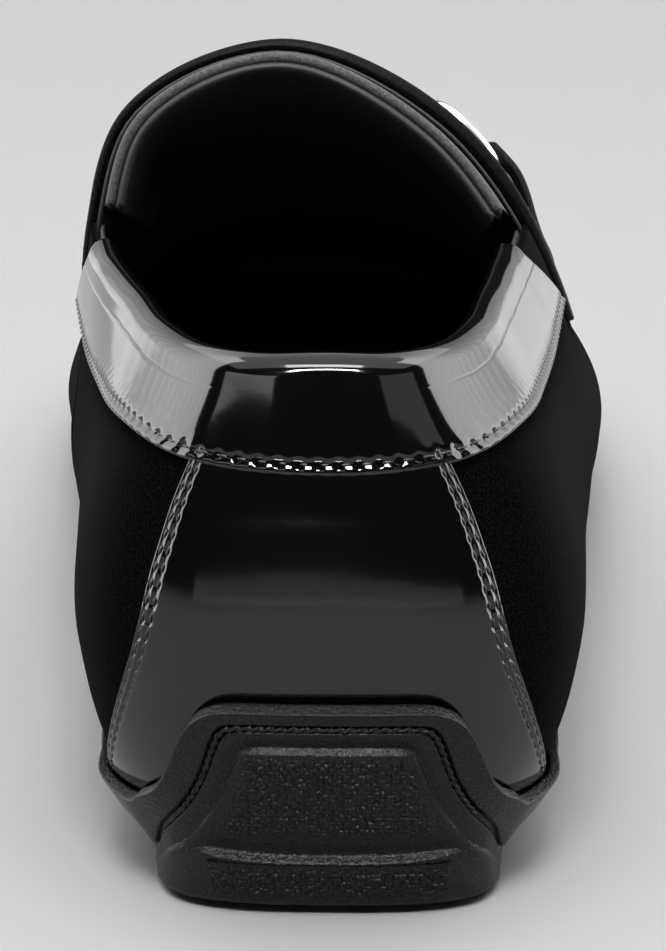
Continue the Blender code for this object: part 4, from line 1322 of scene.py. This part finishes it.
class LOAFER_OT_heel_detail(bpy.types.Operator):
    """Pebbled skin of the heel panel and of the pad below it, and the twisted cord in the heel groove."""

    bl_idname = "loafer.heel_detail"
    bl_label = "Heel detail"

    def execute(self, context):
        grain = join(grain_patch(*GRAIN_PANEL), grain_patch(*GRAIN_PAD))
        add_piece("outsole_heel_grain", grain, [rubber()])
        first = 2 + len(CUP_STEPS) + RINGS.index("groove_top")
        legs = [sole_rings(side)[first:first + 2, :CORD_POINTS].mean(0) for side in (-1, 1)]
        line = np.concatenate([legs[0][:0:-1], legs[1]])
        run = lengths(line)
        at = np.linspace(0, run[-1], 520)
        path = np.stack([np.interp(at, run, line[:, k]) for k in range(3)], -1)
        normal = np.broadcast_to((0.0, -np.cos(FACE_LEAN), -np.sin(FACE_LEAN)), path.shape)
        turn = np.arange(CORD_SIDES) * 2 * np.pi / CORD_SIDES
        twist = 2 * np.pi * at[:, None] / CORD_LAY
        thick = CORD_RADIUS * (1 + CORD_WAIST * np.cos(2 * turn - twist))
        cord = rod(path + CORD_PROUD * normal, normal, thick, CORD_SIDES)
        add_piece("outsole_heel_cord", cord, [rubber()])
        return {"FINISHED"}


CAMERA_TURN = 1.2
CAMERA_RISE = 17.0
CAMERA_DISTANCE = 450.0
CAMERA_TARGET = (0.5, 35.0, 52.0)
FOCAL_PIXELS = 3240.0
IMAGE_HEIGHT = 951.0
SENSOR = 36.0
# Studio lamps: place, point faced, width, height, power
LAMPS = {
    "ceiling": ((0.0, 0.55, 1.8), (0.0, 0.55, 0.0), 3.6, 3.8, 57.0),
    "overhead": ((0.0, -0.68, 1.00), (0.0, -0.13, 0.05), 0.40, 0.26, 4.2),
}
# Cards that only show as reflections, given the same way
REFLECTORS = {
    "high_glint": ((0.0, -0.68, 1.00), (0.0, -0.13, 0.05), 0.34, 0.10, 10.0),
    "low_glint": ((0.0, -1.03, 0.68), (0.0, -0.13, 0.03), 0.34, 0.10, 12.0),
    "horizon_card": ((0.0, -1.1, 0.035), (0.0, -0.13, 0.035), 1.7, 0.07, 0.18),
    "left_card": ((-0.62, -0.92, 0.45), (0.0, -0.13, 0.06), 0.90, 0.15, 0.85),
    "right_card": ((0.66, -0.88, 0.45), (0.0, -0.13, 0.06), 0.70, 0.15, 0.22),
}
# Round screens of upright strips beside the heel, seen only as reflections: the tone that they show in the
# patent on each side, their distance and height, and the turns from the camera at which their strips stand
SCREEN_TONE = {"left": 0.22, "right": 0.24}
SCREEN_AT = (0.0, -0.115)
SCREEN_REACH = 0.5
SCREEN_HEIGHT = 1.1
SCREEN_TURNS = np.arange(77.0, 165.0, 6.0)
# Strips a little wider than their share of the round, so that no gap shows, and light a face mirrors head on
STRIP_OVERLAP = 1.03
FACE_ON = 0.04
WORLD_LIGHT = 0.015
FLOOR_REACH = 4.0


class LOAFER_OT_stage(bpy.types.Operator):
    """Pale floor, soft studio lamps and the camera."""

    bl_idname = "loafer.stage"
    bl_label = "Stage"

    def execute(self, context):
        self.add_floor(context.scene)
        self.add_lights(context.scene)
        self.add_camera(context.scene)
        context.scene.view_settings.view_transform = "Standard"
        return {"FINISHED"}

    @staticmethod
    def add_floor(scene):
        """One large square under the shoe."""
        corners = [(FLOOR_REACH * x, FLOOR_REACH * y, 0) for x, y in ((-1, -1), (1, -1), (1, 1), (-1, 1))]
        mesh = bpy.data.meshes.new("floor")
        mesh.from_pydata(corners, [], [(0, 1, 2, 3)])
        mesh.materials.append(studio_floor())
        floor = bpy.data.objects.new("floor", mesh)
        scene.collection.objects.link(floor)

    def add_lights(self, scene):
        """Dim world, lamps, and the cards and strips that only show as reflections."""
        world = bpy.data.worlds.new("studio")
        world.use_nodes = True
        background = world.node_tree.nodes["Background"]
        background.inputs["Color"].default_value = (1, 1, 1, 1)
        background.inputs["Strength"].default_value = WORLD_LIGHT
        scene.world = world
        for name, (at, target, width, height, power) in (LAMPS | REFLECTORS | self.screens()).items():
            lamp = bpy.data.lights.new(name, "AREA")
            lamp.shape = "RECTANGLE"
            lamp.size = width
            lamp.size_y = height
            lamp.energy = power
            item = bpy.data.objects.new(name, lamp)
            item.visible_diffuse = name in LAMPS
            item.matrix_world = self.facing(np.array(at), np.array(at) - np.array(target))
            scene.collection.objects.link(item)

    def add_camera(self, scene):
        """Camera at its distance from the target, turned and raised by its two angles."""
        turn = np.radians(CAMERA_TURN)
        rise = np.radians(CAMERA_RISE)
        back = np.array((np.sin(turn) * np.cos(rise), -np.cos(turn) * np.cos(rise), np.sin(rise)))
        camera = bpy.data.cameras.new("camera")
        camera.sensor_fit = "VERTICAL"
        camera.sensor_height = SENSOR
        camera.lens = FOCAL_PIXELS / IMAGE_HEIGHT * SENSOR
        camera.clip_start = 0.01
        item = bpy.data.objects.new("camera", camera)
        item.matrix_world = self.facing(place(CAMERA_TARGET) + CAMERA_DISTANCE * MM * back, back)
        scene.collection.objects.link(item)
        scene.camera = item

    @staticmethod
    def screens():
        """Strips of both screens; each shines the more, the less a face turned half its angle mirrors."""
        strips = {}
        step = np.radians(SCREEN_TURNS[1] - SCREEN_TURNS[0])
        wide = 2 * STRIP_OVERLAP * SCREEN_REACH * np.tan(step / 2)
        x, y = SCREEN_AT
        z = SCREEN_HEIGHT / 2
        for side, sign in (("left", -1), ("right", 1)):
            for degrees in SCREEN_TURNS:
                turn = np.radians(degrees)
                mirrored = FACE_ON + (1 - FACE_ON) * (1 - np.cos(turn / 2))**5
                at = (x + sign * SCREEN_REACH * np.sin(turn), y - SCREEN_REACH * np.cos(turn), z)
                power = np.pi * wide * SCREEN_HEIGHT * SCREEN_TONE[side] / mirrored
                strips["%s_strip_%d" % (side, degrees)] = (at, (x, y, z), wide, SCREEN_HEIGHT, power)
        return strips

    @staticmethod
    def facing(at, back):
        """Matrix that stands at a point with its local Z along back and its X level."""
        back = back / np.linalg.norm(back)
        level = np.cross((0, 0, 1), back) if abs(back[2]) < 0.99 else np.array((1.0, 0, 0))
        level = level / np.linalg.norm(level)
        matrix = np.eye(4)
        matrix[:3, :4] = np.stack([level, np.cross(back, level), back, at], -1)
        return Matrix(matrix)


class LOAFER_PT_panel(bpy.types.Panel):
    """Sizes, colours and building steps of the loafer."""

    bl_idname = "LOAFER_PT_panel"
    bl_label = "Loafer"
    bl_space_type = "VIEW_3D"
    bl_region_type = "UI"
    bl_category = "Loafer"

    def draw(self, context):
        for group in (context.scene.loafer_sizes, context.scene.loafer_colours):
            for name in group.bl_rna.properties.keys():
                if name not in ("rna_type", "name"):
                    self.layout.prop(group, name)
        for step in STEPS:
            self.layout.operator(step.bl_idname)


STEPS = (LOAFER_OT_outsole, LOAFER_OT_heel_detail, LOAFER_OT_upper, LOAFER_OT_insole, LOAFER_OT_tongue,
         LOAFER_OT_heel_counter, LOAFER_OT_collar_band, LOAFER_OT_saddle_strap, LOAFER_OT_bit,
         LOAFER_OT_stage)
CLASSES = (LoaferSizes, LoaferColours, *STEPS, LOAFER_PT_panel)


def register():
    for item in CLASSES:
        bpy.utils.register_class(item)
    bpy.types.Scene.loafer_sizes = bpy.props.PointerProperty(type=LoaferSizes)
    bpy.types.Scene.loafer_colours = bpy.props.PointerProperty(type=LoaferColours)


def unregister():
    del bpy.types.Scene.loafer_colours
    del bpy.types.Scene.loafer_sizes
    for item in reversed(CLASSES):
        bpy.utils.unregister_class(item)


def main():
    register()
    for step in STEPS:
        group, name = step.bl_idname.split(".")
        getattr(getattr(bpy.ops, group), name)()


if __name__ == "__main__":
    main()
